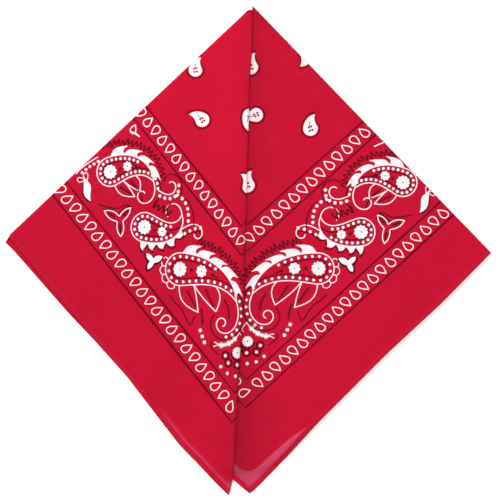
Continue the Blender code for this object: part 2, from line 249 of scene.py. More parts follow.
def back_corner_z(x, y):
    rise = ease((x - x_at(BACK_FOLD, y) + 8.0) / 10.0)
    z = mix(BACK, BACK_TONGUE, rise)
    return rolled(z, path_distance(x, y, back_top_edge)[0], 2.3, MIDDLE)


def back_flap_z(x, y):
    z = np.full_like(np.asarray(x, float), BACK)
    z = rolled(z, path_distance(x, y, back_fold_edge)[0], 1.3, 0.75)
    return rolled(z, path_distance(x, y, back_flap_top)[0], 2.3, MIDDLE)


# ================================================================== print, drawn
def curve(points, closed=False, step=0.7):
    """A smooth curve through points of the print."""
    p = np.asarray(points, float)
    if not closed:
        return smooth_line(p, step)
    n = len(p)
    return np.vstack([bent(p[i - 1], p[i], p[(i + 1) % n], p[(i + 2) % n],
                           max(2, int(math.ceil(np.hypot(*(p[(i + 1) % n] - p[i])) / step)))) for i in range(n)])


def leaf(points, step=0.7):
    """A closed shape whose first point is a sharp tip."""
    p = np.asarray(points, float)
    return smooth_line(np.vstack([p, p[:1]]), step)[:-1]


class Print:
    """Marks in print units, painted in order: filled shapes and drawn lines."""

    def __init__(self):
        self.marks = []

    def fill(self, ink, points):
        self.marks.append((ink, "fill", np.asarray(points, float), 0.0))

    def line(self, ink, points, width=1.3):
        self.marks.append((ink, "line", np.asarray(points, float), width))

    def dot(self, ink, u, v, r, squash=1.0):
        a = np.linspace(0, math.tau, 13)[:-1]
        self.fill(ink, np.column_stack([u + r * np.cos(a), v + r * squash * np.sin(a)]))

    def ring(self, ink, u, v, r, width):
        a = np.linspace(0, math.tau, 25)
        self.line(ink, np.column_stack([u + r * np.cos(a), v + r * np.sin(a)]), width)

    def flower(self, u, v, r, petals=8, dip=0.30, turn=0.2):
        a = np.linspace(0, math.tau, petals * 8 + 1)[:-1]
        lobe = np.abs(np.sin((a + turn) * petals / 2.0)) ** 0.55
        rad = r * (1.0 - dip + dip * lobe)
        self.fill(DARK, np.column_stack([u + (rad + 0.4) * np.cos(a), v + (rad + 0.4) * np.sin(a)]))
        self.fill(WHITE, np.column_stack([u + rad * np.cos(a), v + rad * np.sin(a)]))
        self.dot(DARK, u, v, 0.72)

    def star(self, u, v, r, points=6, ink=DARK, turn=0.3):
        a = turn + np.linspace(0, math.tau, points * 2 + 1)[:-1]
        rad = np.where(np.arange(points * 2) % 2, r * 0.45, r)
        self.fill(ink, np.column_stack([u + rad * np.cos(a), v + rad * np.sin(a)]))

    def fern(self, points, barb=1.7, count=6, width=0.7):
        """A dark vein with short barbs."""
        c = curve(points, step=0.5)
        self.line(DARK, c, width)
        for i, k in enumerate(np.linspace(0.1, 0.95, count)):
            j = min(int(k * (len(c) - 1)), len(c) - 2)
            d = (c[j + 1] - c[j]) / max(np.hypot(*(c[j + 1] - c[j])), 1e-6)
            n = np.array([-d[1], d[0]])
            for side in (-1, 1):
                self.line(DARK, [c[j], c[j] + (0.75 * d + side * n) * barb * (1 - 0.3 * k)], 0.6)

    def wavy(self, points, pitch=3.2, depth=0.55, width=0.85):
        """A dark line of small scallops."""
        c = curve(points, step=0.4)
        s = np.r_[0, np.cumsum(np.hypot(*np.diff(c, axis=0).T))]
        d = np.gradient(c, axis=0)
        n = np.column_stack([-d[:, 1], d[:, 0]]) / np.maximum(np.hypot(*d.T), 1e-6)[:, None]
        bump = np.abs(np.sin(np.pi * s / pitch))[:, None]
        self.line(DARK, c + n * depth * (1 - 2 * bump), width)

    def zigzag(self, points, reach, count, width=0.95, lean=0.3):
        """A dark zigzag whose strokes lean along the curve."""
        c = curve(points, step=0.5)
        s = np.r_[0, np.cumsum(np.hypot(*np.diff(c, axis=0).T))]
        d = np.gradient(c, axis=0)
        d /= np.maximum(np.hypot(*d.T), 1e-6)[:, None]
        out = []
        for i, t in enumerate(np.linspace(0, s[-1], 2 * count + 1)):
            at = [np.interp(t, s, c[:, k]) for k in (0, 1)]
            way = [np.interp(t, s, d[:, k]) for k in (0, 1)]
            n = np.array([-way[1], way[0]])
            side = 1 if i % 2 else -1
            size = reach * (0.8 + 0.3 * math.sin(i * 1.9))
            out.append(np.array(at) + side * size * n + side * lean * size * np.array(way))
        self.line(DARK, smooth_line(np.array(out), 1.0), width)

    def burst(self, u, v, r, spikes=8, turn=0.0):
        self.star(u, v, r, spikes, WHITE, turn)


def drop_shape(u, v, tip, size=5.9, fat=0.66, lean=0.26):
    """An outlined drop, its sharp tip at the angle tip in degrees."""
    t = np.linspace(0, math.tau, 25)
    x = size * np.cos(t)
    y = size * fat * np.sin(t) * np.sin(t / 2) ** 1.15 * 1.25
    y = y + lean * (x / size) ** 2 * size * 0.5 - lean * size * 0.2
    a = math.radians(tip)
    return np.column_stack([u + x * math.cos(a) - y * math.sin(a), v + x * math.sin(a) + y * math.cos(a)])


def draw_borders(art):
    """Two bands, each of two thin lines with a row of leaning drops."""
    for tip, far, arm in (
        ((245.6, 407.7), (470.0, 199.5), (228.0, 389.0)),
        ((246.4, 379.5), (470.0, 174.6), (228.0, 361.0)),
        ((247.8, 224.6), (380.0, 106.1), (228.0, 205.0)),
        ((247.2, 251.4), (392.0, 119.9), (228.0, 231.0)),
    ):
        art.line(DARK, [arm, tip, far], 0.85)
    step = 11.95  # from drop to drop, turned about each time
    along = np.array([math.cos(math.radians(-42.6)), math.sin(math.radians(-42.6))])
    for start, count in (((258.0, 383.2), 26), ((249.6, 237.6), 16)):
        for k in range(count):
            c = np.array(start) + along * step * k
            art.line(WHITE, drop_shape(c[0], c[1], 30.0 if k % 2 == 0 else 210.0), 1.3)


def spiral(start, heading, length, turn, power=2.0, step=0.6, curl=0.0):
    """A line that turns ever faster along its length, and may curl up at its end:
    a tendril, or a paisley's spine."""
    n = max(12, int(length / step))
    s = (np.arange(n) + 0.5) / n
    a = math.radians(heading) + math.radians(turn) * s**power + math.radians(curl) * s**7
    way = np.column_stack([np.cos(a), np.sin(a)]) * length / n
    return np.vstack([[start], np.asarray(start, float) + np.cumsum(way, axis=0)])


def sides(line):
    d = np.gradient(line, axis=0)
    d = d / np.maximum(np.hypot(*d.T), 1e-6)[:, None]
    return d, np.column_stack([-d[:, 1], d[:, 0]])


def even(line, gap, lead=0.0):
    """Places a gap apart along a line."""
    s = np.r_[0, np.cumsum(np.hypot(*np.diff(line, axis=0).T))]
    at = np.arange(lead, s[-1], gap)
    return np.column_stack([np.interp(at, s, line[:, 0]), np.interp(at, s, line[:, 1])])


class Paisley:
    """The lines of one paisley, from its spine and how its width tapers."""

    def __init__(self, head, radius, heading, length, turn, power=1.8, waist=0.6, taper=0.95,
                 full=1.45, curl=0.0):
        self.radius = radius
        self.spine = spiral(head, heading, length, turn, power, curl=curl)
        self.d, n = sides(self.spine)
        self.out = n * (-1.0 if turn > 0 else 1.0)  # towards the rounded back
        t = np.linspace(0, 1, len(self.spine))
        self.t = t
        self.wide = radius * np.clip(1.0 - np.clip(t / waist, 0, 1) ** full, 0, 1) ** taper
        self.body = t <= waist
        self.waist = waist
        self.back = self.spine + self.out * self.wide[:, None]
        self.belly = self.spine - self.out * self.wide[:, None]

    def head_arc(self, radius, a=0.0, b=1.0, count=26):
        """Round the head, from the back (0) to the belly (1)."""
        k = np.linspace(a, b, count) * math.pi
        o, d = self.out[0], self.d[0]
        return self.spine[0] + radius * (np.cos(k)[:, None] * o - np.sin(k)[:, None] * d)

    def on_back(self, t, lift=0.0, tailward=0.0):
        i = int(np.clip(t, 0, 1) * (len(self.t) - 1))
        return self.back[i] + self.out[i] * lift + self.d[i] * tailward

    def on_belly(self, t, lift=0.0, tailward=0.0):
        i = int(np.clip(t, 0, 1) * (len(self.t) - 1))
        return self.belly[i] - self.out[i] * lift + self.d[i] * tailward

    def outline(self):
        return np.vstack([self.back[self.body][::-1], self.head_arc(self.radius)[1:-1], self.belly])

    def echo(self, inset, back_from=0.0, end=1.0):
        """A line inset from the outline: down the back, round the head, and along the tail's outer side."""
        d, n = sides(self.belly)
        n = n if (n[0] * self.out[0]).sum() > 0 else -n
        last = int(end * len(self.t))
        line = [self.head_arc(self.radius - inset, 0.0 if back_from else 0.14)[1:-1],
                (self.belly + n * inset)[:last]]
        if back_from:
            first = int(back_from * len(self.t))
            line.insert(0, (self.back - self.out * inset)[:first][::-1])
        return np.vstack(line)


def crown(art, p, first, last, count, height, hook=4.0, fade=0.35, rim=False):
    """Solid white flame-like leaves along a paisley's back, pointing to its tail."""
    edges = np.linspace(first, last, count + 1)
    for k, (a, b) in enumerate(zip(edges, edges[1:])):
        h = height * (1.0 - fade * k / max(count - 1, 1)) * (1.0 + 0.12 * math.sin(2.3 * k + 1))
        e = b + 0.1 * (b - a)
        rise = curve([p.on_back(a, 0.2), p.on_back(mix(a, e, 0.35), 0.72 * h), p.on_back(mix(a, e, 0.75), 0.95 * h),
                      p.on_back(e, h, hook)])
        fall = curve([p.on_back(e, h, hook), p.on_back(mix(a, e, 0.86), 0.55 * h, hook * 0.3),
                      p.on_back(mix(a, e, 0.97), 0.2)])
        base = np.array([p.on_back(t, 0.0) for t in np.linspace(b, a, 8)])
        if rim:
            art.line(DARK, np.vstack([rise, fall[1:]]) + p.out[int(e * (len(p.t) - 1))] * 2.2, 0.9)
        art.fill(WHITE, np.vstack([rise, fall[1:], base]))


def scallops(art, p, a, b, count, reach=6.0):
    """A row of outlined petals round the head."""
    edges = np.linspace(a, b, count + 1)
    for lo, hi in zip(edges, edges[1:]):
        def at(k, r):
            return p.head_arc(r, mix(lo, hi, k), mix(lo, hi, k), 1)[0]
        r = p.radius
        art.line(WHITE, curve([at(0.04, r), at(0.0, r + 0.6 * reach), at(0.5, r + reach), at(1.0, r + 0.6 * reach),
                               at(0.96, r)]), 1.0)


def leaf_lines(base_a, base_b, tip, bulge=(0.18, 0.18)):
    """The two sides of a pointed leaf."""
    out = []
    middle = (np.asarray(base_a, float) + np.asarray(base_b, float)) / 2
    for base, full in ((base_a, bulge[0]), (base_b, bulge[1])):
        base, tip = np.asarray(base, float), np.asarray(tip, float)
        way = tip - base
        n = np.array([-way[1], way[0]])
        if ((base - middle) * n).sum() < 0:
            n = -n
        t = np.linspace(0, 1, 13)[:, None]
        out.append(base + t * way + n * full * np.sin(np.pi * t**0.85))
    return out


def belly_leaf(art, p, t, spread, length, lean, bulge=(0.18, 0.18)):
    a, b = p.on_belly(t - spread), p.on_belly(t + spread)
    tip = p.on_belly(t, length, lean)
    for side in leaf_lines(a, b, tip, bulge):
        art.line(WHITE, side, 1.25)
    root = p.on_belly(t, 1.5, -0.5)
    art.fern([root + (tip - root) * 0.12, root + (tip - root) * 0.48, root + (tip - root) * 0.78], 1.7, 6)


def free_leaf(art, base, tip, fat=0.26, solid=False, fern=True, sway=0.0):
    """A leaf pointed at both ends; sway bends it."""
    base, tip = np.asarray(base, float), np.asarray(tip, float)
    way = tip - base
    n = np.array([-way[1], way[0]])
    t = np.linspace(0, 1, 13)[:, None]
    mid = base + t * way + sway * np.sin(math.tau * t) * n
    side = fat * np.sin(np.pi * t**0.9) * n
    loop = np.vstack([mid + side, (mid - side)[::-1][1:]])
    if solid:
        art.line(DARK, loop + (0.4, 0.6), 1.4)
        art.fill(WHITE, loop)
        return
    art.fill(RED, loop)
    art.line(WHITE, loop, 1.2)
    if fern:
        art.fern([base + way * 0.3, base + way * 0.55, base + way * 0.78], 1.2, 3, 0.9)


def trefoil(art, hub, turns, sizes, solid=False, neck=3.4, fat=0.21):
    """Three pointed leaves grown together at the middle."""
    hub = np.asarray(hub, float)
    order = np.argsort(turns)
    loop = []
    for k, i in enumerate(order):
        a = math.radians(turns[i])
        before = math.radians(turns[order[k - 1]] - (360.0 if k == 0 else 0.0))
        after = math.radians(turns[order[(k + 1) % 3]] + (360.0 if k == 2 else 0.0))
        way = np.array([math.cos(a), math.sin(a)])
        n = np.array([-way[1], way[0]])
        dips = [hub + neck * np.array([math.cos(m), math.sin(m)]) for m in ((before + a) / 2, (a + after) / 2)]
        tip = hub + way * sizes[i]
        loop.append(curve([dips[0], hub + way * sizes[i] * 0.45 - n * sizes[i] * fat,
                           hub + way * sizes[i] * 0.75 - n * sizes[i] * fat * 0.72, tip])[:-1])
        loop.append(curve([tip, hub + way * sizes[i] * 0.75 + n * sizes[i] * fat * 0.72,
                           hub + way * sizes[i] * 0.45 + n * sizes[i] * fat, dips[1]])[:-1])
    loop = np.vstack(loop + [loop[0][:1]])
    if solid:
        art.line(DARK, loop + (0.4, 0.7), 2.4)
        art.fill(WHITE, loop)
        return
    art.line(DARK, loop + (1.0, -1.2), 1.0)
    art.fill(RED, loop)
    art.line(WHITE, loop, 1.25)
    for i in range(3):
        a = math.radians(turns[i])
        way = np.array([math.cos(a), math.sin(a)])
        art.fern([hub + way * sizes[i] * f for f in (0.3, 0.5, 0.72)], 1.5, 4, 0.9)


def tendril(art, start, heading, length, turn, power=1.7, side=1.0, dots=0, gap=4.9, echo=True, lead=0.0):
    """A curling white line, with dots beside it and a dark wavy line outside them."""
    line = spiral(start, heading, length, turn, power)
    n = sides(line)[1] * side
    if echo:
        art.wavy(line[::4] + n[::4] * 7.2, 3.6, 0.3)
    art.line(WHITE, line, 1.25)
    for c in even(line + n * 3.9, gap, lead)[:dots]:
        art.dot(WHITE, c[0], c[1], 1.7)


def fill_paisley(art, p, big, small, along=0.27, gap=4.75, stars=True, back_from=0.3, end=0.8):
    """Dots, dark lines and flowers inside a paisley, and its outline."""
    art.wavy(p.echo(6.5, back_from - 0.03, min(end + 0.12, 1.0))[::3], 3.1, 0.45)
    for c in even(p.echo(3.5, back_from, end), gap, 1.0):
        art.dot(DARK, c[0] + 0.15, c[1] + 0.2, 1.9)
        art.dot(WHITE, c[0], c[1], 1.5)
    art.line(WHITE, p.outline(), 1.3)
    i = int(along * len(p.t))
    head = p.spine[0]
    near = p.spine[i]
    art.flower(head[0], head[1], big, 11, 0.22)
    art.flower(near[0], near[1], small, 8, 0.28)
    if stars:
        mid = (head * small + near * big) / (big + small)
        art.star(mid[0] + 0.4, mid[1], 2.6)
        j = int((along + 0.09) * len(p.t))
        art.star(*p.spine[j], 2.5)
        art.line(DARK, p.spine[j:j + 14:4], 0.8)


def draw_corner_paisley(art):
    p = Paisley((318.5, 268.5), 15.6, 184.0, 148.0, -200.0, 1.65, 0.51, curl=-330.0)
    back = p.back + p.out * 13.5
    art.zigzag(back[int(0.12 * len(back)):int(0.50 * len(back)):4], 3.9, 17)
    fill_paisley(art, p, 7.2, 6.0, 0.165, 7.0, back_from=0.27, end=0.78)
    crown(art, p, 0.02, 0.47, 5, 8.4, 5.0, 0.12)
    scallops(art, p, 0.30, 0.90, 4, 5.8)
    belly_leaf(art, p, 0.215, 0.095, 21.0, 19.0, (0.04, 0.2))
    belly_leaf(art, p, 0.052, 0.064, 25.0, 15.0, (0.2, 0.03))
    art.fern(curve([(259.5, 311.0), (261.5, 301.0), (266.0, 293.5)]), 1.7, 7)
    art.fern(curve([(288.3, 319.5), (289.5, 311.5), (291.5, 304.0)]), 1.7, 7)
    art.wavy(curve([(297, 311), (302, 320.5), (307, 314), (314, 305), (320.5, 300.5), (327, 294.5)]), 3.4, 0.4)
    for k in range(3):
        art.dot(WHITE, 290.2 - 2.9 * k, 324.4 + 5.4 * k, 1.8)


def draw_middle_paisley(art):
    p = Paisley((361.0, 232.0), 14.0, 168.0, 84.0, 330.0, 2.2, 0.60)
    fill_paisley(art, p, 7.1, 4.8, 0.235, 5.5, stars=False, back_from=0.36, end=0.42)
    mid = p.spine[int(0.125 * len(p.spine))]
    art.star(mid[0] - 0.9, mid[1], 2.3)
    crown(art, p, 0.0, 0.47, 5, 8.2, -4.0, 0.25, rim=True)
    tendril(art, (322.0, 232.0), 212.0, 46.0, -300.0, 2.4, -1.0, 0)
    for c in even(spiral((316.0, 234.5), 208.0, 22.0, -30.0), 6.4)[:4]:
        art.dot(WHITE, c[0], c[1], 1.6)
    for c in even(spiral((312.8, 222.5), -92.0, 30.0, 82.0, 1.4), 5.8)[:6]:
        art.dot(WHITE, c[0], c[1], 1.7)
    art.wavy(spiral((306.4, 227.5), -90.0, 32.0, 66.0, 1.5)[::6], 3.4, 0.3)
    art.zigzag(spiral((333.0, 216.5), -15.0, 24.0, -22.0)[::6], 3.4, 4, 1.15)
    art.line(DARK, spiral((332.5, 206.0), 48.0, 9.0, 10.0), 0.9)


def draw_curl(art):
    line = spiral((348.8, 196.0), 156.0, 35.0, 250.0, 2.1)
    art.line(WHITE, line, 1.25)
    n = sides(line)[1]
    for c in even(line - n * 3.9, 6.0, 4.0)[:6]:
        art.dot(WHITE, c[0], c[1], 1.7)
    art.wavy((line - n * 7.0)[30::4], 3.4, 0.35)


def draw_edge_paisley(art):
    p = Paisley((403.0, 182.5), 14.0, 207.0, 104.0, -250.0, 1.6, 0.52, curl=-200.0)
    back = p.back + p.out * 12.0
    art.zigzag(back[int(0.02 * len(back)):int(0.56 * len(back)):4], 3.3, 18)
    fill_paisley(art, p, 7.0, 4.8, 0.185, 4.9, back_from=0.30, end=0.62)
    crown(art, p, 0.05, 0.50, 4, 7.4, 4.4, 0.12)
    belly_leaf(art, p, 0.20, 0.085, 14.0, 11.0, (0.04, 0.2))
    belly_leaf(art, p, 0.040, 0.070, 18.0, 13.0, (0.2, 0.03))
    art.fern(curve([(366.0, 208.0), (367.5, 202.5), (371.0, 198.0)]), 1.3, 4)
    art.wavy(curve([(377, 219), (378, 214), (383, 213), (391, 217), (401, 217), (412, 215)]), 3.6, 0.35)


def draw_leaves(art):
    """Loose leaves between the paisleys, and what the fold cuts off."""
    trefoil(art, (387.5, 227.5), (232.0, -22.0, 101.0), (16.0, 18.5, 16.5))
    trefoil(art, (348.5, 263.5), (208.0, -42.0, 64.0), (11.5, 10.0, 9.5), solid=True, neck=2.6, fat=0.26)
    free_leaf(art, (429.5, 192.0), (419.5, 213.0), 0.17, solid=True, sway=0.05)
    art.line(WHITE, drop_shape(427.5, 189.5, 110.0, 3.8), 1.0)
    art.line(WHITE, drop_shape(432.0, 193.0, 190.0, 3.8), 1.0)
    free_leaf(art, (452.0, 176.0), (449.0, 160.0), 0.25)
    art.line(WHITE, spiral((374.5, 146.5), -27.0, 10.0, 12.0), 1.4)


def draw_corner_sprig(art):
    art.wavy(curve([(276.5, 333.5), (277.0, 338.0), (273.0, 341.5), (268.5, 345.0)]), 3.0, 0.4)
    stem = spiral((246.8, 322.5), 58.0, 29.0, -62.0, 1.2)
    art.line(WHITE, stem, 1.1)
    tip = stem[-1]
    art.line(WHITE, [tip - (2.5, 1.0), tip + (3.4, -2.4)], 1.0)
    art.line(WHITE, [tip - (2.5, 1.0), tip + (3.6, 2.0)], 0.9)
    for k, t in enumerate((0.28, 0.42, 0.56, 0.70, 0.84)):
        c = stem[int(t * (len(stem) - 1))]
        art.burst(c[0], c[1], (3.3, 2.6, 3.6, 2.7, 3.6)[k], 8, 0.4 + k)
    arm = spiral((246.8, 322.5), 132.0, 9.0, -20.0)
    art.line(WHITE, arm, 0.9)
    art.line(WHITE, [arm[-1] + (1.2, -2.4), arm[-1], arm[-1] + (2.0, 1.8)], 0.7)
    flower = np.array([247.6, 341.4])
    a = np.linspace(0.1, 2.9, 18)
    art.line(DARK, flower + 6.9 * np.column_stack([np.cos(a), np.sin(a)]), 1.0)
    for ang, far in ((96.0, 11.3), (50.0, 13.6), (17.0, 13.2), (140.0, 11.5), (176.0, 12.6)):
        c = flower + far * np.array([math.cos(math.radians(ang)), math.sin(math.radians(ang))])
        art.ring(DARK, c[0], c[1], 3.7, 1.2)
        art.dot(WHITE, c[0] + 0.2, c[1] + 0.2, 1.55)
    art.flower(flower[0], flower[1], 5.5, 12, 0.24)
    for ang in (91.0, 67.0, 42.0):
        a = math.radians(ang)
        art.dot(WHITE, flower[0] + 22.2 * math.cos(a), flower[1] + 22.2 * math.sin(a), 1.65)


def draw_spot(art, u, v, tip, size=8.8, turn=1.0):
    """A small solid white paisley, dark-ringed, with little cherries inside."""
    a = math.radians(tip)

    def shape(grow):
        p = Paisley((0.0, 0.0), size * 0.84 + grow, 0.0, size * 1.75 + grow * 1.3, 60.0 * turn, 1.4, 1.0, 0.95, 1.25)
        q = np.vstack([p.back[::-1], p.head_arc(size * 0.84 + grow)[1:-1], p.belly])
        q = q - (size * 0.22, 0.0)
        c, s = math.cos(a), math.sin(a)
        return np.column_stack([q[:, 0] * c - q[:, 1] * s + u, q[:, 0] * s + q[:, 1] * c + v])

    def put(x, y):
        c, s = math.cos(a), math.sin(a)
        x, y = x * size, y * size * turn
        return np.array([x * c - y * s + u, x * s + y * c + v])

    art.fill(DARK, shape(2.5))
    art.fill(RED, shape(1.35))
    art.fill(WHITE, shape(0.0))
    stem = curve([put(-0.10, 0.05), put(0.18, -0.06), put(0.55, 0.02)], step=0.5)
    art.line(DARK, stem, 0.5)
    for x, y in ((-0.02, 0.12), (-0.10, -0.16), (-0.45, 0.20), (-0.50, -0.12)):
        c = put(x, y)
        art.dot(DARK, c[0], c[1], size * 0.135)
        art.dot(RED, c[0], c[1], size * 0.105)
    art.line(DARK, [put(-0.45, 0.20), put(-0.32, 0.0), put(-0.50, -0.12)], 0.45)


def right_print():
    art = Print()
    draw_borders(art)
    draw_edge_paisley(art)
    draw_middle_paisley(art)
    draw_curl(art)
    draw_corner_paisley(art)
    draw_corner_sprig(art)
    draw_leaves(art)
    return art


def right_spots(art):
    draw_spot(art, 310.2, 126.4, -97.0)
    draw_spot(art, 254.2, 115.4, 165.0, 8.2)
    draw_spot(art, 250.4, 65.0, -97.0)
    draw_spot(art, 247.0, 183.0, -97.0)
    draw_spot(art, 307.0, 56.0, 96.0, 8.4)
    art.line(WHITE, drop_shape(244.6, 392.4, -24.0), 1.3)
    art.line(WHITE, spiral((238.5, 378.0), 20.0, 12.0, 200.0, 1.0), 1.3)


def left_spots(art):
    draw_spot(art, 200.8, 118.4, 226.0, 8.4, -1.0)
    draw_spot(art, 249.2, 118.0, 118.0, 9.0, -1.0)
    draw_spot(art, 249.6, 184.5, 258.0, 9.0, -1.0)
    draw_spot(art, 195.4, 68.0, -90.0, 8.0)
    draw_spot(art, 247.0, 4.5, 10.0, 8.0)
    line = spiral((98.0, 157.0), 150.0, 28.0, -22.0)
    art.line(WHITE, line, 1.2)
    for c in even(line - sides(line)[1] * 4.0, 4.9, 2.0):
        art.dot(WHITE, c[0], c[1], 1.5)
    art.line(WHITE, drop_shape(133.6, 129.0, -72.0, 4.6), 1.2)
    art.line(WHITE, spiral((134.5, 132.0), 40.0, 7.0, 10.0), 1.2)
    art.line(WHITE, drop_shape(230.2, 406.0, -72.0), 1.3)


# The same print on the left flap lies a little aslant: where marks of the right
# half fall on the flap.
ASLANT = (
    ((318.1, 268.6), (179.7, 269.2)), ((293.7, 268.7), (200.7, 272.0)), ((361.5, 232.4), (144.4, 227.3)),
    ((341.4, 234.0), (163.0, 230.8)), ((404.6, 183.6), (108.3, 173.2)), ((386.8, 178.0), (126.2, 168.9)),
    ((389.6, 241.9), (117.6, 234.4)), ((407.2, 221.5), (102.3, 211.2)), ((336.3, 189.4), (172.4, 184.2)),
    ((271.5, 319.9), (216.7, 326.8)), ((299.9, 310.2), (191.2, 314.6)), ((283.0, 335.3), (203.7, 342.9)),
    ((247.8, 341.3), (236.9, 351.8)), ((245.6, 407.7), (233.2, 422.2)), ((246.4, 379.5), (235.2, 393.6)),
    ((246.8, 322.4), (239.0, 331.9)), ((452.8, 215.2), (55.8, 199.3)), ((361.3, 122.8), (149.9, 111.0)),
    ((375.3, 134.0), (137.0, 122.8)), ((252.1, 281.6), (238.7, 289.6)), ((263.4, 355.8), (221.6, 366.3)),
)


def aslant_terms(p):
    a, b = (p[:, 0] - 330.0) / 100.0, (p[:, 1] - 260.0) / 100.0
    return np.column_stack([np.ones_like(a), a, b, a * a, a * b, b * b])


_pairs = np.array(ASLANT)
ASLANT_FIT = np.linalg.lstsq(aslant_terms(_pairs[:, 0]), _pairs[:, 1], rcond=None)[0]


def to_left(points):
    return aslant_terms(np.asarray(points, float).reshape(-1, 2)) @ ASLANT_FIT


# ============================================================== cloth from print
def mark_loop(kind, p, width):
    """Closed outline of a mark, for cutting the cloth's faces along it."""
    if kind == "fill":
        return p
    d = np.gradient(p, axis=0)
    n = np.column_stack([-d[:, 1], d[:, 0]]) / np.maximum(np.hypot(*d.T), 1e-6)[:, None]
    end = d[-1] / max(np.hypot(*d[-1]), 1e-6) * width * 0.35
    start = d[0] / max(np.hypot(*d[0]), 1e-6) * width * 0.35
    return np.vstack([p + n * width / 2, p[-1:] + end, (p - n * width / 2)[::-1], p[:1] - start])


def inside(loop, x, y):
    """Even-odd test of points against a closed outline."""
    hit = np.zeros(x.shape, bool)
    a, b = loop, np.roll(loop, -1, axis=0)
    for (ax, ay), (bx, by) in zip(a, b):
        if ay == by:
            continue
        cross = (ay > y) != (by > y)
        hit[cross] ^= x[cross] < ax + (y[cross] - ay) * (bx - ax) / (by - ay)
    return hit


def near_line(p, half, x, y):
    best = np.full(x.shape, 1e9)
    for (ax, ay), (bx, by) in zip(p, p[1:]):
        run = (bx - ax) ** 2 + (by - ay) ** 2
        if run < 1e-12:
            continue
        t = np.clip(((x - ax) * (bx - ax) + (y - ay) * (by - ay)) / run, 0, 1)
        best = np.minimum(best, (x - ax - t * (bx - ax)) ** 2 + (y - ay - t * (by - ay)) ** 2)
    return best <= half * half


def thin_out(p, step):
    """Drops points closer than step to the last one kept."""
    keep = [p[0]]
    for q in p[1:]:
        if np.hypot(*(q - keep[-1])) >= step:
            keep.append(q)
    return np.array(keep)


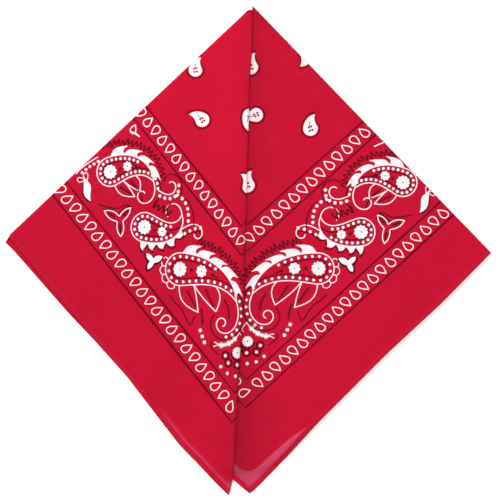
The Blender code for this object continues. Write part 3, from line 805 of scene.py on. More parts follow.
def cloth_mesh(name, outline, marks, level, pitch, edge_bands=(), guide=(), up=True, seed=1, shade_and_tone=None,
               thin=None, skirts=()):
    """One face of the cloth, cut along its print, each face in its ink.

    marks are (ink, kind, points, width) in plan millimetres. edge_bands are
    (line, offsets) that set rows of points beside a rounded edge."""
    lo, hi = outline.min(0), outline.max(0)
    verts, edges = [], []

    def add_loop(p, closed=True):
        first = len(verts)
        verts.extend((float(a), float(b)) for a, b in p)
        count = len(p)
        edges.extend((first + i, first + (i + 1) % count) for i in range(count if closed else count - 1))

    add_loop(outline)
    live = []
    for ink, kind, p, width in marks:
        pad = width + 0.1
        if (p.max(0) + pad < lo).any() or (p.min(0) - pad > hi).any():
            continue
        if not inside(outline, p[:, 0], p[:, 1]).any():
            continue
        live.append((ink, kind, p, width))
        add_loop(thin_out(mark_loop(kind, p, width), 0.22))
    for line in guide:
        add_loop(line, closed=False)
    # Loose points: an even net with a little disorder, and rows by the edges.
    xs = np.arange(lo[0], hi[0], pitch)
    ys = np.arange(lo[1], hi[1], pitch * 0.866)
    gx, gy = np.meshgrid(xs, ys)
    gx = gx + (np.arange(len(ys)) % 2)[:, None] * pitch / 2
    r = np.random.default_rng(seed)
    gx = (gx + r.uniform(-0.12, 0.12, gx.shape) * pitch).ravel()
    gy = (gy + r.uniform(-0.12, 0.12, gy.shape) * pitch).ravel()
    ok = inside(outline, gx, gy)
    gx, gy = gx[ok], gy[ok]
    away = path_distance(gx, gy, np.vstack([outline, outline[:1]]))[0] > pitch * 0.4
    loose = [np.column_stack([gx[away], gy[away]])]
    for line, offsets, step in edge_bands:
        line = thin_out(line, step)
        d = np.gradient(line, axis=0)
        n = np.column_stack([-d[:, 1], d[:, 0]]) / np.maximum(np.hypot(*d.T), 1e-6)[:, None]
        for off in offsets:
            for side in (1, -1):
                q = line + n * off * side
                loose.append(q[inside(outline, q[:, 0], q[:, 1])])
    loose = np.vstack(loose)
    verts.extend((float(a), float(b)) for a, b in loose)
    got = delaunay_2d_cdt([Vector(v) for v in verts], edges, [], 0, 1e-4, False)
    co = np.array([(v.x, v.y) for v in got[0]])
    tri = np.array([f for f in got[2] if len(f) == 3])
    mid = co[tri].mean(1)
    keep = inside(outline, mid[:, 0], mid[:, 1])
    tri, mid = tri[keep], mid[keep]
    ink = np.zeros(len(tri), np.int32)
    for colour, kind, p, width in live:
        pad = width / 2 + 0.01
        a, b = p.min(0) - pad, p.max(0) + pad
        near = np.nonzero((mid[:, 0] >= a[0]) & (mid[:, 0] <= b[0]) & (mid[:, 1] >= a[1]) & (mid[:, 1] <= b[1]))[0]
        if not len(near):
            continue
        if kind == "fill":
            hit = inside(p, mid[near, 0], mid[near, 1])
        else:
            hit = near_line(p, width / 2, mid[near, 0], mid[near, 1])
        ink[near[hit]] = colour
    used, flat = np.unique(tri, return_inverse=True)
    tri = flat.reshape(tri.shape)
    co = co[used]
    area2 = ((co[tri[:, 1]] - co[tri[:, 0]])[:, 0] * (co[tri[:, 2]] - co[tri[:, 0]])[:, 1]
             - (co[tri[:, 1]] - co[tri[:, 0]])[:, 1] * (co[tri[:, 2]] - co[tri[:, 0]])[:, 0])
    flip = (area2 < 0) == up
    tri[flip] = tri[flip][:, ::-1]
    z = level(co[:, 0], co[:, 1])
    h = 0.15
    gx = (level(co[:, 0] + h, co[:, 1]) - level(co[:, 0] - h, co[:, 1])) / (2 * h)
    gy = (level(co[:, 0], co[:, 1] + h) - level(co[:, 0], co[:, 1] - h)) / (2 * h)
    gx, gy = np.clip(gx, -0.8, 0.8), np.clip(gy, -0.8, 0.8)
    normal = np.column_stack([-gx, -gy, np.ones_like(gx)])
    normal /= np.linalg.norm(normal, axis=1)[:, None]
    if not up:
        normal = -normal
    points = np.column_stack([co, z])
    face_ink = ink
    for line, rows in skirts:  # the cloth turning under beyond a rounded edge
        base = len(points)
        d = np.gradient(line, axis=0)
        n = np.column_stack([-d[:, 1], d[:, 0]]) / np.maximum(np.hypot(*d.T), 1e-6)[:, None]
        centre = outline.mean(0)
        if ((centre - line.mean(0)) * n[len(n) // 2]).sum() < 0:
            n = -n
        zl = level(line[:, 0], line[:, 1])
        strip, strip_n = [], []
        for inward, change, nz in rows:
            strip.append(np.column_stack([line + n * inward, zl + change]))
            strip_n.append(np.column_stack([-n * math.sqrt(max(0.0, 1 - nz * nz)), np.full(len(n), nz)]))
        points = np.vstack([points] + strip)
        normal = np.vstack([normal] + strip_n)
        m, faces = len(line), []
        for k in range(len(rows) - 1):
            for i in range(m - 1):
                a = base + k * m + i
                faces += [(a, a + 1, a + m + 1), (a, a + m + 1, a + m)]
        faces = np.array(faces)
        fn = np.cross(points[faces[:, 1]] - points[faces[:, 0]], points[faces[:, 2]] - points[faces[:, 0]])
        turn = (fn * normal[faces[:, 0]]).sum(1) < 0
        faces[turn] = faces[turn][:, ::-1]
        tri = np.vstack([tri, faces])
        face_ink = np.r_[face_ink, np.zeros(len(faces), np.int32)]
    world = (points + (-MID_X, -MID_Y, 0.0)) * MM
    mesh = bpy.data.meshes.new(name)
    mesh.from_pydata(world.tolist(), [], tri.tolist())
    ob = bpy.data.objects.new(name, mesh)
    bpy.context.scene.collection.objects.link(ob)
    mesh.polygons.foreach_set("material_index", face_ink)
    mesh.polygons.foreach_set("use_smooth", np.ones(len(tri), bool))
    mesh.normals_split_custom_set_from_vertices(normal.tolist())
    # A flat map along the threads, so that the print and weave bake sharply.
    diag = np.column_stack([points[:, 0] + points[:, 1], points[:, 1] - points[:, 0]]) / math.sqrt(2)
    a, b = diag.min(0), diag.max(0)
    uv = (diag - a) / (b - a) * 0.98 + 0.01
    layer = mesh.uv_layers.new(name="OFBake")
    loops = np.empty(len(mesh.loops), np.int32)
    mesh.loops.foreach_get("vertex_index", loops)
    layer.data.foreach_set("uv", uv[loops].astype(np.float32).ravel())
    # Point attributes: painted shade and light with a little random tone, and how far the table shows through a single
    # layer.
    for key, field in (("shade_and_tone", shade_and_tone), ("thin", thin)):
        values = field(points[:, 0], points[:, 1]) if field else np.full(len(points), 1.0 if key == "shade_and_tone" else 0.0)
        attr = mesh.attributes.new(key, "FLOAT", "POINT")
        attr.data.foreach_set("value", values.astype(np.float32))
    print(name, len(points), "points", len(tri), "faces", len(live), "marks")
    return ob


def mapped(art, where):
    """Marks taken from print units to the plan by where()."""
    swell = {RED: 1.0, WHITE: 0.84, DARK: 1.35}
    return [(ink, kind, where(p), width * UNIT * swell[ink]) for ink, kind, p, width in art.marks]


# ===================================================================== materials
def new_material(name):
    mat = bpy.data.materials.new(name)
    mat.use_nodes = True
    nodes, links = mat.node_tree.nodes, mat.node_tree.links
    nodes.clear()
    out = nodes.new("ShaderNodeOutputMaterial")
    shader = nodes.new("ShaderNodeBsdfPrincipled")
    links.new(shader.outputs[0], out.inputs["Surface"])
    return mat, nodes, links, shader


def math_node(nodes, links, kind, a, b=None, c=None):
    n = nodes.new("ShaderNodeMath")
    n.operation = kind
    for socket, value in zip(n.inputs, (a, b, c)):
        if value is None:
            continue
        if isinstance(value, (int, float)):
            socket.default_value = value
        else:
            links.new(value, socket)
    return n.outputs[0]


def cotton(name, base, thin_base=None, fibre=0.05, sheen=0.02, weave_depth=0.5, shade_and_tone=True):
    """Plain-woven cotton: threads along the hems, slubs and a soft nap."""
    mat, nodes, links, shader = new_material(name)
    where = nodes.new("ShaderNodeTexCoord")
    turn = nodes.new("ShaderNodeMapping")
    turn.inputs["Rotation"].default_value = (0.0, 0.0, math.radians(45.0))
    links.new(where.outputs["Object"], turn.inputs["Vector"])
    split = nodes.new("ShaderNodeSeparateXYZ")
    links.new(turn.outputs["Vector"], split.inputs[0])
    pitch = 0.00062
    warp = math_node(nodes, links, "SINE", math_node(nodes, links, "MULTIPLY", split.outputs["X"], math.tau / pitch))
    weft = math_node(nodes, links, "SINE", math_node(nodes, links, "MULTIPLY", split.outputs["Y"], math.tau / pitch))
    over = math_node(nodes, links, "MULTIPLY", warp, weft)

    def slubs(stretch, size):
        m = nodes.new("ShaderNodeMapping")
        m.inputs["Scale"].default_value = stretch
        links.new(turn.outputs["Vector"], m.inputs["Vector"])
        n = nodes.new("ShaderNodeTexNoise")
        n.inputs["Scale"].default_value = size
        n.inputs["Detail"].default_value = 2.0
        links.new(m.outputs["Vector"], n.inputs["Vector"])
        return n.outputs["Fac"]

    along = slubs((0.12, 1.0, 1.0), 900.0)
    across = slubs((1.0, 0.12, 1.0), 900.0)
    cloud = slubs((1.0, 1.0, 1.0), 14.0)
    fuzz = slubs((1.0, 1.0, 1.0), 1400.0)
    # Brightness: mostly even, with faint threads and a slow drift.
    value = math_node(nodes, links, "MULTIPLY_ADD", over, 0.018, 1.0)
    patch = slubs((1.0, 1.0, 1.0), 110.0)
    for source, amount in ((along, fibre), (across, fibre), (cloud, 0.07), (patch, 0.05), (fuzz, fibre)):
        value = math_node(nodes, links, "MULTIPLY_ADD", math_node(nodes, links, "SUBTRACT", source, 0.5), amount * 2.0, value)
    # The point attribute multiplies the brightness by painted shade and light, with a little random tone.
    if shade_and_tone:
        shade = nodes.new("ShaderNodeAttribute")
        shade.attribute_name = "shade_and_tone"
        value = math_node(nodes, links, "MULTIPLY", value, shade.outputs["Fac"])
    colour = nodes.new("ShaderNodeRGB")
    colour.outputs[0].default_value = (*base, 1.0)
    source = colour.outputs[0]
    if thin_base is not None:
        light = nodes.new("ShaderNodeRGB")
        light.outputs[0].default_value = (*thin_base, 1.0)
        amount = nodes.new("ShaderNodeAttribute")
        amount.attribute_name = "thin"
        blend = nodes.new("ShaderNodeMix")
        blend.data_type = "RGBA"
        links.new(amount.outputs["Fac"], blend.inputs[0])
        links.new(source, blend.inputs[6])
        links.new(light.outputs[0], blend.inputs[7])
        source = blend.outputs[2]
    scale = nodes.new("ShaderNodeVectorMath")
    scale.operation = "SCALE"
    links.new(source, scale.inputs[0])
    links.new(value, scale.inputs["Scale"])
    links.new(scale.outputs[0], shader.inputs["Base Color"])
    shader.inputs["Roughness"].default_value = 0.88
    shader.inputs["Specular IOR Level"].default_value = 0.08
    shader.inputs["Sheen Weight"].default_value = sheen
    shader.inputs["Sheen Roughness"].default_value = 0.5
    bump = nodes.new("ShaderNodeBump")
    bump.inputs["Strength"].default_value = weave_depth
    bump.inputs["Distance"].default_value = 0.00006
    height = math_node(nodes, links, "MULTIPLY_ADD", along, 0.8, over)
    height = math_node(nodes, links, "MULTIPLY_ADD", across, 0.8, height)
    links.new(height, bump.inputs["Height"])
    links.new(bump.outputs["Normal"], shader.inputs["Normal"])
    return mat


def linear(r, g, b):
    return tuple((c / 255 / 12.92) if c <= 10 else ((c / 255 + 0.055) / 1.055) ** 2.4 for c in (r, g, b))


GAIN = 1.5  # the studio's light on a face turned up


def dyed(r, g, b):
    """The base colour that shows as this one in the studio's light."""
    return tuple(max(c / GAIN, 0.0) for c in linear(r, g, b))


RED_CLOTH = dyed(192, 8.5, 46)
THIN_CLOTH = dyed(209, 67, 98)
RED_INK = cotton("red_cotton", RED_CLOTH, THIN_CLOTH)
WHITE_INK = cotton("white_print", dyed(250, 236, 240), fibre=0.03)
DARK_INK = cotton("dark_print", dyed(84, 0, 20), fibre=0.06)
HEM_RED = cotton("hem_cotton", dyed(189, 14, 47), shade_and_tone=False)
# A lighter copy of the hem cotton for the hems of the low back layers: painted light that offsets the shade they get
# below the front layers.
HEM_LOW_LIGHTENED = cotton("hem_cotton_low_lightened", dyed(208, 19, 54), shade_and_tone=False)
CORE_RED = cotton("inner_cotton", dyed(176, 14, 42), shade_and_tone=False)
GREY_THREAD = cotton("grey_thread", dyed(150, 140, 142), weave_depth=0.2, shade_and_tone=False)
THREAD = cotton("red_thread", dyed(206, 30, 60), weave_depth=0.2, shade_and_tone=False)


# ======================================================================= build
def closed_outline(*lines):
    """Joins lines head to tail into one outline."""
    p = np.vstack(lines)
    keep = [p[0]]
    for q in p[1:]:
        if np.hypot(*(q - keep[-1])) > 0.3:
            keep.append(q)
    if np.hypot(*(keep[0] - keep[-1])) <= 0.3:
        keep.pop()
    return np.array(keep)


# Painted light and shade on the front flap's colour: lighter towards the top and darker at the bottom tip, crease
# ridges lighter and troughs darker, a lighter band along the crest, and painted shade beside the fold. It is also
# darker along the line where the hem is sewn, with a little random tone.
def flap_painted_shade_and_tone(x, y):
    near = np.clip(x_at(FLAP_FOLD, y) - x, 0, None)
    t = 0.955 + 0.09 * ease((y + 30.0) / 190.0) - 0.03 * ease((-60.0 - y) / 60.0)
    t = t + 0.016 * waves(x, y, 70.0, 5) + 0.10 * crease_field(x, y, FLAP_CREASES)
    t = t * (1.0 + 0.03 * np.exp(-(((near - 30.0) / 24.0) ** 2)))
    shade = 0.05 + 0.07 * ease((60.0 - y) / 160.0)
    sewn = path_distance(x, y, flap_hem_edge)[0]
    return t * (1.0 - shade * np.exp(-near / 6.0)) * (1.0 - 0.08 * np.exp(-(((sewn - 4.8) / 0.7) ** 2)))


# Faint print from the layer beneath, showing through the front corner.
GHOSTS = plan([(303, 70), (262, 34), (316, 92), (268, 92), (340, 128), (276, 140), (300, 104)])


def ghosts(x, y):
    total = np.zeros_like(x)
    for k, (gx, gy) in enumerate(GHOSTS):
        d = np.hypot(x - gx, y - gy)
        total += (0.045 if k else 0.08) * ease((6.6 - d) / 1.2)
    return total


# Painted shade on the front corner's colour: darker beside the fold where the flap shades it, deepest low down, and
# crease ridges lighter and troughs darker. Also a little random tone, and faint print showing through from beneath.
def corner_painted_shade_and_tone(x, y):
    past = np.clip(x - x_at(FLAP_FOLD, y), 0, None)
    t = 0.975 + 0.016 * waves(x, y, 60.0, 6) + 0.012 * waves(x, y, 9.0, 61) * ease((y + 40.0) / 60.0)
    t = t + 0.16 * crease_field(x, y, CORNER_CREASES) + ghosts(x, y)
    low = ease((-60.0 - y) / 70.0)
    depth = 0.24 + 0.12 * low + 0.04 * waves(np.zeros_like(y), y, 55.0, 8)
    t = t * (1.0 - depth * np.exp(-past / (8.5 + 7.0 * low)))
    return t * (1.0 - 0.05 * low * np.exp(-past / 40.0))


# Below this line the front corner is the only layer, and the table shows through.
SINGLE_EDGE = edge_line(plan([(231.0, 458.0), (236.0, 465.0), (242.0, 470.6), (250.0, 471.6), (258.0, 467.0),
                              (266.5, 458.8), (275.0, 451.4), (283.5, 443.6), (291.0, 437.4), (300.0, 431.2),
                              (308.0, 426.5)]), 1.2)


def corner_thin(x, y):
    x, y = np.asarray(x, float), np.asarray(y, float)
    d = path_distance(x, y, SINGLE_EDGE)[0]
    below_it = inside(np.vstack([SINGLE_EDGE, [(120.0, -240.0), (-60.0, -240.0)]]), x, y)
    return ease(np.where(below_it, d, -d) / 0.9 + 0.35)


def flap_thin(x, y):
    x, y = np.asarray(x, float), np.asarray(y, float)
    d = path_distance(x, y, flap_hem_edge)[0]
    sliver = np.exp(-(((d - 5.5) / 0.95) ** 2)) * ease((-122.0 - y) / 22.0) * 0.75
    patch = 0.55 * ease((-184.5 - y) / 2.0) * ease((-1.0 + d) / 1.0)
    return np.maximum(sliver, patch)


def hem_band_thin(field, line, width=4.2):
    def f(x, y):
        d = path_distance(x, y, line)[0]
        return field(x, y) * (1.0 - 0.72 * ease((width + 0.4 - d) / 0.9))
    return f


pieces = {}
right_art = right_print()

# Front flap.
art = mapped(right_art, lambda p: plan(to_left(p)))
left_art = Print()
left_spots(left_art)
art += mapped(left_art, plan)
outline = closed_outline(flap_top_edge, flap_hem_edge, flap_fold_edge[::-1])
pieces["flap"] = cloth_mesh(
    "front_flap_cloth", outline, art, flap_z, 2.3,
    edge_bands=((flap_top_edge, (0.1, 0.35, 0.8, 1.4, 2.2), 2.0), (flap_fold_edge, (0.1, 0.4, 0.9, 1.6, 2.6), 2.0),
                (flap_hem_edge, (0.5, 4.0, 4.6, 5.2, 5.8, 6.6, 7.4), 1.6)),
    seed=2, shade_and_tone=flap_painted_shade_and_tone, thin=flap_thin,
    skirts=((flap_fold_edge[(flap_fold_edge[:, 1] < 184.0) & (flap_fold_edge[:, 1] > -183.0)],
             ((0.0, 0.0, 0.0), (0.25, -0.14, -0.6), (1.2, -0.2, -1.0), (5.0, -0.2, -1.0))),),
)

# Front corner: the right half, and the strip under the flap.
tongue = flap_fold_edge[flap_fold_edge[:, 1] > -150.0] - (13.0, 0.0)
tongue = tongue[tongue[:, 1] < 165.0]
under = corner_left_hem[corner_left_hem[:, 1] < -150.0]
under = under[under[:, 0] > tongue[-1, 0] + 1.0]
outline = closed_outline(corner_top_edge, corner_hem_edge, under[::-1], tongue[::-1])
art = mapped(right_art, plan)
right_art2 = Print()
right_spots(right_art2)
art += mapped(right_art2, plan)
pieces["corner"] = cloth_mesh(
    "front_corner_cloth", outline, art, corner_z, 2.3,
    edge_bands=((corner_top_edge, (0.1, 0.35, 0.8, 1.4, 2.2), 2.0),
                (corner_hem_edge, (0.5, 3.4, 3.9, 4.4, 5.0), 1.3), (corner_left_hem, (3.9, 4.4, 5.0), 1.3),
                (SINGLE_EDGE, (0.01, 0.45, 0.9, 1.5), 1.2), (flap_fold_edge, (0.1, 1.2, 2.4, 3.6), 2.0)),
    seed=3, shade_and_tone=corner_painted_shade_and_tone, thin=hem_band_thin(hem_band_thin(corner_thin, corner_hem_edge), corner_left_hem),
)


# Underside: the same print, turned round with the cloth.
def turned(p):
    q = plan(p)
    return np.column_stack([-q[:, 0] + 3.0, q[:, 1]])


outline = closed_outline(back_flap_top, back_flap_hem, back_fold_edge[::-1])
art = mapped(right_art, lambda p: turned(to_left(p)))
pieces["back_flap"] = cloth_mesh(
    "back_flap_cloth", outline, art, back_flap_z, 4.0, up=False, seed=4,
    edge_bands=((back_flap_top, (0.1, 0.35, 0.8, 1.4, 2.2), 2.5), (back_fold_edge, (0.1, 0.5, 1.2), 2.5)),
)
edge = back_fold_edge[(back_fold_edge[:, 1] < 165.0) & (back_fold_edge[:, 1] > -165.0)] + (13.0, 0.0)
outline = closed_outline(back_top_edge, back_hem_edge, np.array([(1.5, -177.0), (12.0, -171.0)]), edge[::-1])
art = mapped(right_art, turned)
pieces["back_corner"] = cloth_mesh(
    "back_corner_cloth", outline, art, back_corner_z, 4.0, up=False, seed=5,
    edge_bands=((back_top_edge, (0.1, 0.35, 0.8, 1.4, 2.2), 2.5),),
)



for ob in pieces.values():
    for mat in (RED_INK, WHITE_INK, DARK_INK):
        ob.data.materials.append(mat)


def below(level, by):
    return lambda x, y: np.maximum(level(x, y) - by, 0.02)


def plain(name, outline, level, up, pitch, seed, mat):
    ob = cloth_mesh(name, outline, [], level, pitch, up=up, seed=seed)
    ob.data.materials.append(mat)
    return ob


def join(name, parts):
    """Makes one piece of several meshes."""
    bpy.ops.object.select_all(action="DESELECT")
    for o in parts:
        o.select_set(True)
    bpy.context.view_layer.objects.active = parts[0]
    bpy.ops.object.join()
    parts[0].name = name
    parts[0].data.name = name
    return parts[0]


def hem_strip(name, line, level, inward, width=4.2, thick=0.95, wave=0.18, seed=7, ends=(0.6, 0.6)):
    """A turned and sewn hem along an edge, rounded, a little uneven.

    level is the cloth's upper face; inward is +1 when the cloth lies to the
    left of the line's direction."""
    line = thin_out(smooth_line(thin_out(line, 6.0), 1.1), 0.9)
    d = np.gradient(line, axis=0)
    n = np.column_stack([-d[:, 1], d[:, 0]]) / np.maximum(np.hypot(*d.T), 1e-6)[:, None] * inward
    run = np.r_[0, np.cumsum(np.hypot(*np.diff(line, axis=0).T))]
    r = np.random.default_rng(seed)
    ph = r.uniform(0, math.tau, 6)
    wobble = wave * (np.sin(run / 11.0 + ph[0]) + 0.6 * np.sin(run / 4.3 + ph[1]) + 0.4 * np.sin(run / 23.0 + ph[2])) / 2
    puff = 0.07 * np.sin(run * math.tau / 2.4 + ph[3]) + 0.06 * np.sin(run / 7.0 + ph[4]) + 0.05 * np.sin(run / 3.1 + ph[5])
    taper = np.where(run < run[-1] / 2, mix(ends[0], 1.0, ease(run / 8.0)),
                     mix(ends[1], 1.0, ease((run[-1] - run) / 8.0)))
    outline = (
        (0.55, -thick), (0.12, -thick * 0.86), (-0.12, -thick * 0.5), (-0.02, -0.12), (0.3, 0.14),
        (0.9, 0.3), (1.7, 0.36), (2.5, 0.33), (3.15, 0.2), (3.5, 0.06), (3.72, 0.1), (4.0, 0.1),
        (4.22, 0.0), (4.3, -0.2), (4.25, -thick + 0.1),
    )
    ring = len(outline)
    rows, normals = [], []
    for k, (across, up) in enumerate(outline):
        w = (across * width / 4.2 + wobble * ease(across / 3.0)) * taper
        p = line + n * w[:, None]
        z = level(line[:, 0] + n[:, 0] * max(w.mean(), 0.6), line[:, 1] + n[:, 1] * max(w.mean(), 0.6))
        lift = up + (puff * ease(across / 1.2) * ease((3.6 - across) / 1.2) if up > 0.05 else 0.0)
        z = z + lift
        rows.append(np.column_stack([p, z]))
    rows = np.array(rows)  # ring x along x 3
    m = len(line)
    points = rows.reshape(-1, 3)
    faces = []
    for k in range(ring):
        j = (k + 1) % ring
        for i in range(m - 1):
            faces.append((k * m + i, k * m + i + 1, j * m + i + 1, j * m + i))
    faces.append(tuple(k * m for k in range(ring)))
    faces.append(tuple(k * m + m - 1 for k in range(ring))[::-1])
    world = (points + (-MID_X, -MID_Y, 0.0)) * MM
    mesh = bpy.data.meshes.new(name)
    mesh.from_pydata(world.tolist(), [], faces)
    ob = bpy.data.objects.new(name, mesh)
    bpy.context.scene.collection.objects.link(ob)
    bm = bmesh.new()
    bm.from_mesh(mesh)
    bmesh.ops.recalc_face_normals(bm, faces=bm.faces)
    bm.to_mesh(mesh)
    bm.free()
    mesh.polygons.foreach_set("use_smooth", np.ones(len(mesh.polygons), bool))
    return ob, line, n, run


def stitches(name, line, n, level, offset, pitch=2.35, length=1.75, radius=0.16, up=1.0, lift=0.2, seed=9):
    """A row of machine stitches, each a short sunk length of thread."""
    run = np.r_[0, np.cumsum(np.hypot(*np.diff(line, axis=0).T))]
    r = np.random.default_rng(seed)
    verts, faces = [], []
    count = int(run[-1] / pitch)
    for i in range(1, count):
        at = i * pitch + r.uniform(-0.1, 0.1)
        steps = at + length * np.linspace(-0.5, 0.5, 5)
        x = np.interp(steps, run, line[:, 0]) + np.interp(steps, run, n[:, 0]) * (offset + r.uniform(-0.06, 0.06))
        y = np.interp(steps, run, line[:, 1]) + np.interp(steps, run, n[:, 1]) * offset
        z = level(x, y) + up * (lift - 0.16 * np.abs(np.linspace(-1, 1, 5)) ** 2)
        p = np.column_stack([x, y, z])
        t = p[-1] - p[0]
        t /= np.linalg.norm(t)
        side = np.array([-t[1], t[0], 0.0])
        base = len(verts)
        for k in range(5):
            rad = radius * (0.55 if k in (0, 4) else 1.0)
            for a in np.linspace(0, math.tau, 7)[:-1]:
                verts.append(p[k] + side * rad * math.cos(a) + np.array([0, 0, rad * math.sin(a)]))
        for k in range(4):
            for a in range(6):
                b = base + k * 6
                faces.append((b + a, b + (a + 1) % 6, b + 6 + (a + 1) % 6, b + 6 + a))
        faces.append(tuple(base + a for a in range(6))[::-1])
        faces.append(tuple(base + 24 + a for a in range(6)))
    world = (np.array(verts) + (-MID_X, -MID_Y, 0.0)) * MM
    mesh = bpy.data.meshes.new(name)
    mesh.from_pydata(world.tolist(), [], faces)
    mesh.polygons.foreach_set("use_smooth", np.ones(len(mesh.polygons), bool))
    mesh.materials.append(THREAD)
    ob = bpy.data.objects.new(name, mesh)
    bpy.context.scene.collection.objects.link(ob)
    return ob


# Reverse of the front cloth, for what shows past the lower layers.
flap_outline = closed_outline(flap_top_edge, flap_hem_edge, flap_fold_edge[::-1])
corner_outline = closed_outline(corner_top_edge, corner_hem_edge, under[::-1], tongue[::-1])
reverse_flap = plain("front_flap_reverse", flap_outline, below(flap_z, 1.0), False, 3.2, 12, RED_INK)
reverse_corner = plain("front_corner_reverse", corner_outline, below(corner_z, 1.0), False, 3.2, 13, RED_INK)

# Hems.
hem_sets = {}
for key, line, level, inward, thick, ends, mat in (
    ("front_flap_hem", flap_hem_edge, flap_z, 1.0, 1.0, (0.8, 0.12), HEM_RED),
    ("front_corner_hem", corner_hem_edge, corner_z, -1.0, 0.95, (0.8, 0.7), HEM_RED),
    ("front_corner_hem_left", corner_left_hem, corner_z, 1.0, 0.95, (1.0, 0.7), HEM_RED),
    ("back_corner_hem", back_hem_edge, lambda x, y: np.full_like(x, 0.9), 1.0, 1.0, (0.8, 0.8), HEM_LOW_LIGHTENED),
    ("back_flap_hem", back_flap_hem, lambda x, y: np.full_like(x, 0.9), -1.0, 1.0, (0.8, 0.8), HEM_LOW_LIGHTENED),
):
    ob, used, normal, run = hem_strip(key + "_cloth", line, level, inward, thick=thick, seed=len(hem_sets) + 20,
                                      ends=ends)
    ob.data.materials.append(mat)
    sewn = stitches(key + "_stitches", used, normal, level, 3.55, seed=len(hem_sets) + 40)
    hem_sets[key] = (ob, sewn)

def loose_thread(name, points, radius, mat):
    """A short frayed end of thread lying by an edge."""
    line = smooth_line(points[:, :2], 0.35)
    z = np.interp(np.linspace(0, 1, len(line)), np.linspace(0, 1, len(points)), points[:, 2])
    d = np.gradient(line, axis=0)
    n = np.column_stack([-d[:, 1], d[:, 0]]) / np.maximum(np.hypot(*d.T), 1e-6)[:, None]
    verts, faces = [], []
    for k in range(len(line)):
        r = radius * (1.0 - 0.6 * k / len(line))
        for a in np.linspace(0, math.tau, 6)[:-1]:
            verts.append((line[k, 0] + n[k, 0] * r * math.cos(a), line[k, 1] + n[k, 1] * r * math.cos(a),
                          z[k] + r * math.sin(a)))
    for k in range(len(line) - 1):
        for a in range(5):
            b = k * 5
            faces.append((b + a, b + (a + 1) % 5, b + 5 + (a + 1) % 5, b + 5 + a))
    faces.append(tuple(range(5))[::-1])
    faces.append(tuple(len(verts) - 5 + a for a in range(5)))
    mesh = bpy.data.meshes.new(name)
    mesh.from_pydata(((np.array(verts) + (-MID_X, -MID_Y, 0.0)) * MM).tolist(), [], faces)
    mesh.polygons.foreach_set("use_smooth", np.ones(len(mesh.polygons), bool))
    mesh.materials.append(mat)
    ob = bpy.data.objects.new(name, mesh)
    bpy.context.scene.collection.objects.link(ob)
    return ob


def with_height(points, start, end):
    p = plan(points)
    return np.column_stack([p, np.linspace(start, end, len(p))])


threads = [
    loose_thread("thread_left", with_height([(21.6, 259.6), (21.2, 262.5), (21.6, 265.6), (22.8, 268.8)], 0.7, 0.05), 0.11, GREY_THREAD),
    loose_thread("thread_tip_a", with_height([(254.2, 489.4), (256.2, 490.2), (257.6, 489.4)], 0.6, 0.1), 0.13, THREAD),
    loose_thread("thread_tip_b", with_height([(252.0, 491.2), (253.8, 492.6), (255.0, 492.3)], 0.5, 0.05), 0.12, THREAD),
    loose_thread("thread_flap_tip", with_height([(228.0, 494.8), (227.0, 496.4), (228.4, 497.2)], 0.6, 0.05), 0.12, THREAD),
]

# Inner layers: two leaves between the front and the back.


def leaf_piece(name, shift_left, shift_right, low, high, seed):
    a = np.vstack([edge_line(LAYERS_LEFT[:3], 4.0), edge_line(LAYERS_LEFT[2:], 4.0)]) + (shift_left, 0.0)
    b = np.vstack([edge_line(LAYERS_RIGHT[:3], 4.0), edge_line(LAYERS_RIGHT[2:], 4.0)]) - (shift_right, 0.0)
    top = 196.0 - 0.6 * (shift_left + shift_right)
    a, b = a[(a[:, 1] < top) & (a[:, 1] > -176.0)], b[(b[:, 1] < top) & (b[:, 1] > -176.0)]
    outline = closed_outline(a, b[::-1])
    rim = np.vstack([outline, outline[:1]])
    mid = (low + high) / 2

    def upper(x, y):
        return rolled(np.full_like(x, high), path_distance(x, y, rim)[0], 0.8, mid)

    def lower(x, y):
        return rolled(np.full_like(x, low), path_distance(x, y, rim)[0], 0.8, mid)

    bands = ((rim, (0.15, 0.4, 0.8), 4.0),)
    top = cloth_mesh(name, outline, [], upper, 9.0, bands, up=True, seed=seed)
    bottom = cloth_mesh(name + "_b", outline, [], lower, 9.0, bands, up=False, seed=seed + 1)
    return join(name, [top, bottom])


leaves = [leaf_piece("inner_leaf_a", 2.4, 1.6, 2.3, 3.1, 31), leaf_piece("inner_leaf_b", 1.4, 2.6, 1.3, 2.15, 33)]
inner = join("inner_layers_cloth", leaves)
inner.data.materials.append(CORE_RED)

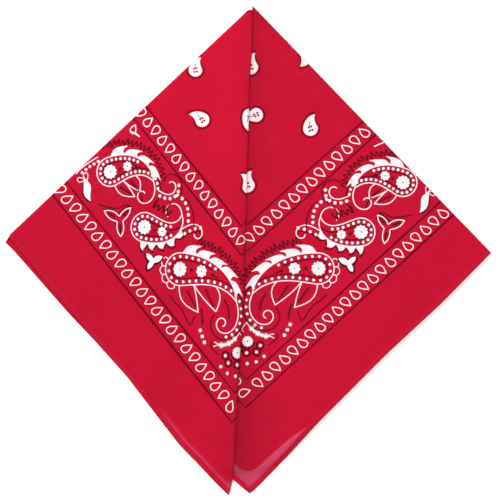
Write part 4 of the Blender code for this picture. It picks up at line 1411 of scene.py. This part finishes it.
# ============================================================ frame declarations
for key, node, slot in (
    ("flap", "front_flap", "printed_cloth"), ("corner", "front_corner", "printed_cloth"),
    ("back_flap", "back_flap", "printed_cloth"), ("back_corner", "back_corner", "printed_cloth"),
):
    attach(pieces[key], "root")
    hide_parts(node)
for ob in (reverse_flap, reverse_corner):
    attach(ob, "root")
for key, (ob, sewn) in hem_sets.items():
    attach(ob, "root")
    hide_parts(key)
    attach(sewn, "root")
for ob in threads:
    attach(ob, "root")
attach(inner, "root")
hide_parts("inner_layers")

# ================================================================= floor, light
scene = bpy.context.scene
scene.view_settings.view_transform = "Standard"
floor_mesh = bpy.data.meshes.new("floor")
floor_mesh.from_pydata([(-6, -6, -0.0004), (6, -6, -0.0004), (6, 6, -0.0004), (-6, 6, -0.0004)], [], [(0, 1, 2, 3)])
floor = bpy.data.objects.new("floor", floor_mesh)
scene.collection.objects.link(floor)
mat, nodes, links, shader = new_material("floor_white")
shader.inputs["Base Color"].default_value = (0.95, 0.95, 0.95, 1.0)
shader.inputs["Roughness"].default_value = 0.9
shader.inputs["Specular IOR Level"].default_value = 0.1
floor_mesh.materials.append(mat)

world = bpy.data.worlds.new("studio")
scene.world = world
world.use_nodes = True
world.node_tree.nodes["Background"].inputs[0].default_value = (1.0, 1.0, 1.0, 1.0)
world.node_tree.nodes["Background"].inputs[1].default_value = 1.10


def area_light(name, place, size, power):
    data = bpy.data.lights.new(name, "AREA")
    data.shape = "DISK"
    data.size = size
    data.energy = power
    ob = bpy.data.objects.new(name, data)
    ob.location = place
    ob.rotation_euler = (Vector((0, 0, 0)) - Vector(place)).to_track_quat("-Z", "Y").to_euler()
    scene.collection.objects.link(ob)
    return ob


area_light("key", (-2.5, 1.6, 2.7), 2.2, 145.0)
area_light("fill", (1.6, -1.0, 1.8), 1.6, 10.0)

data = bpy.data.cameras.new("camera")
data.sensor_width = 36.0
data.lens = 179.6
data.clip_start, data.clip_end = 0.05, 20.0
camera = bpy.data.objects.new("camera", data)
camera.location = (0.00229, 0.00013, 2.0)
camera.rotation_euler = (0.0, 0.0, 0.0)
scene.collection.objects.link(camera)
scene.camera = camera
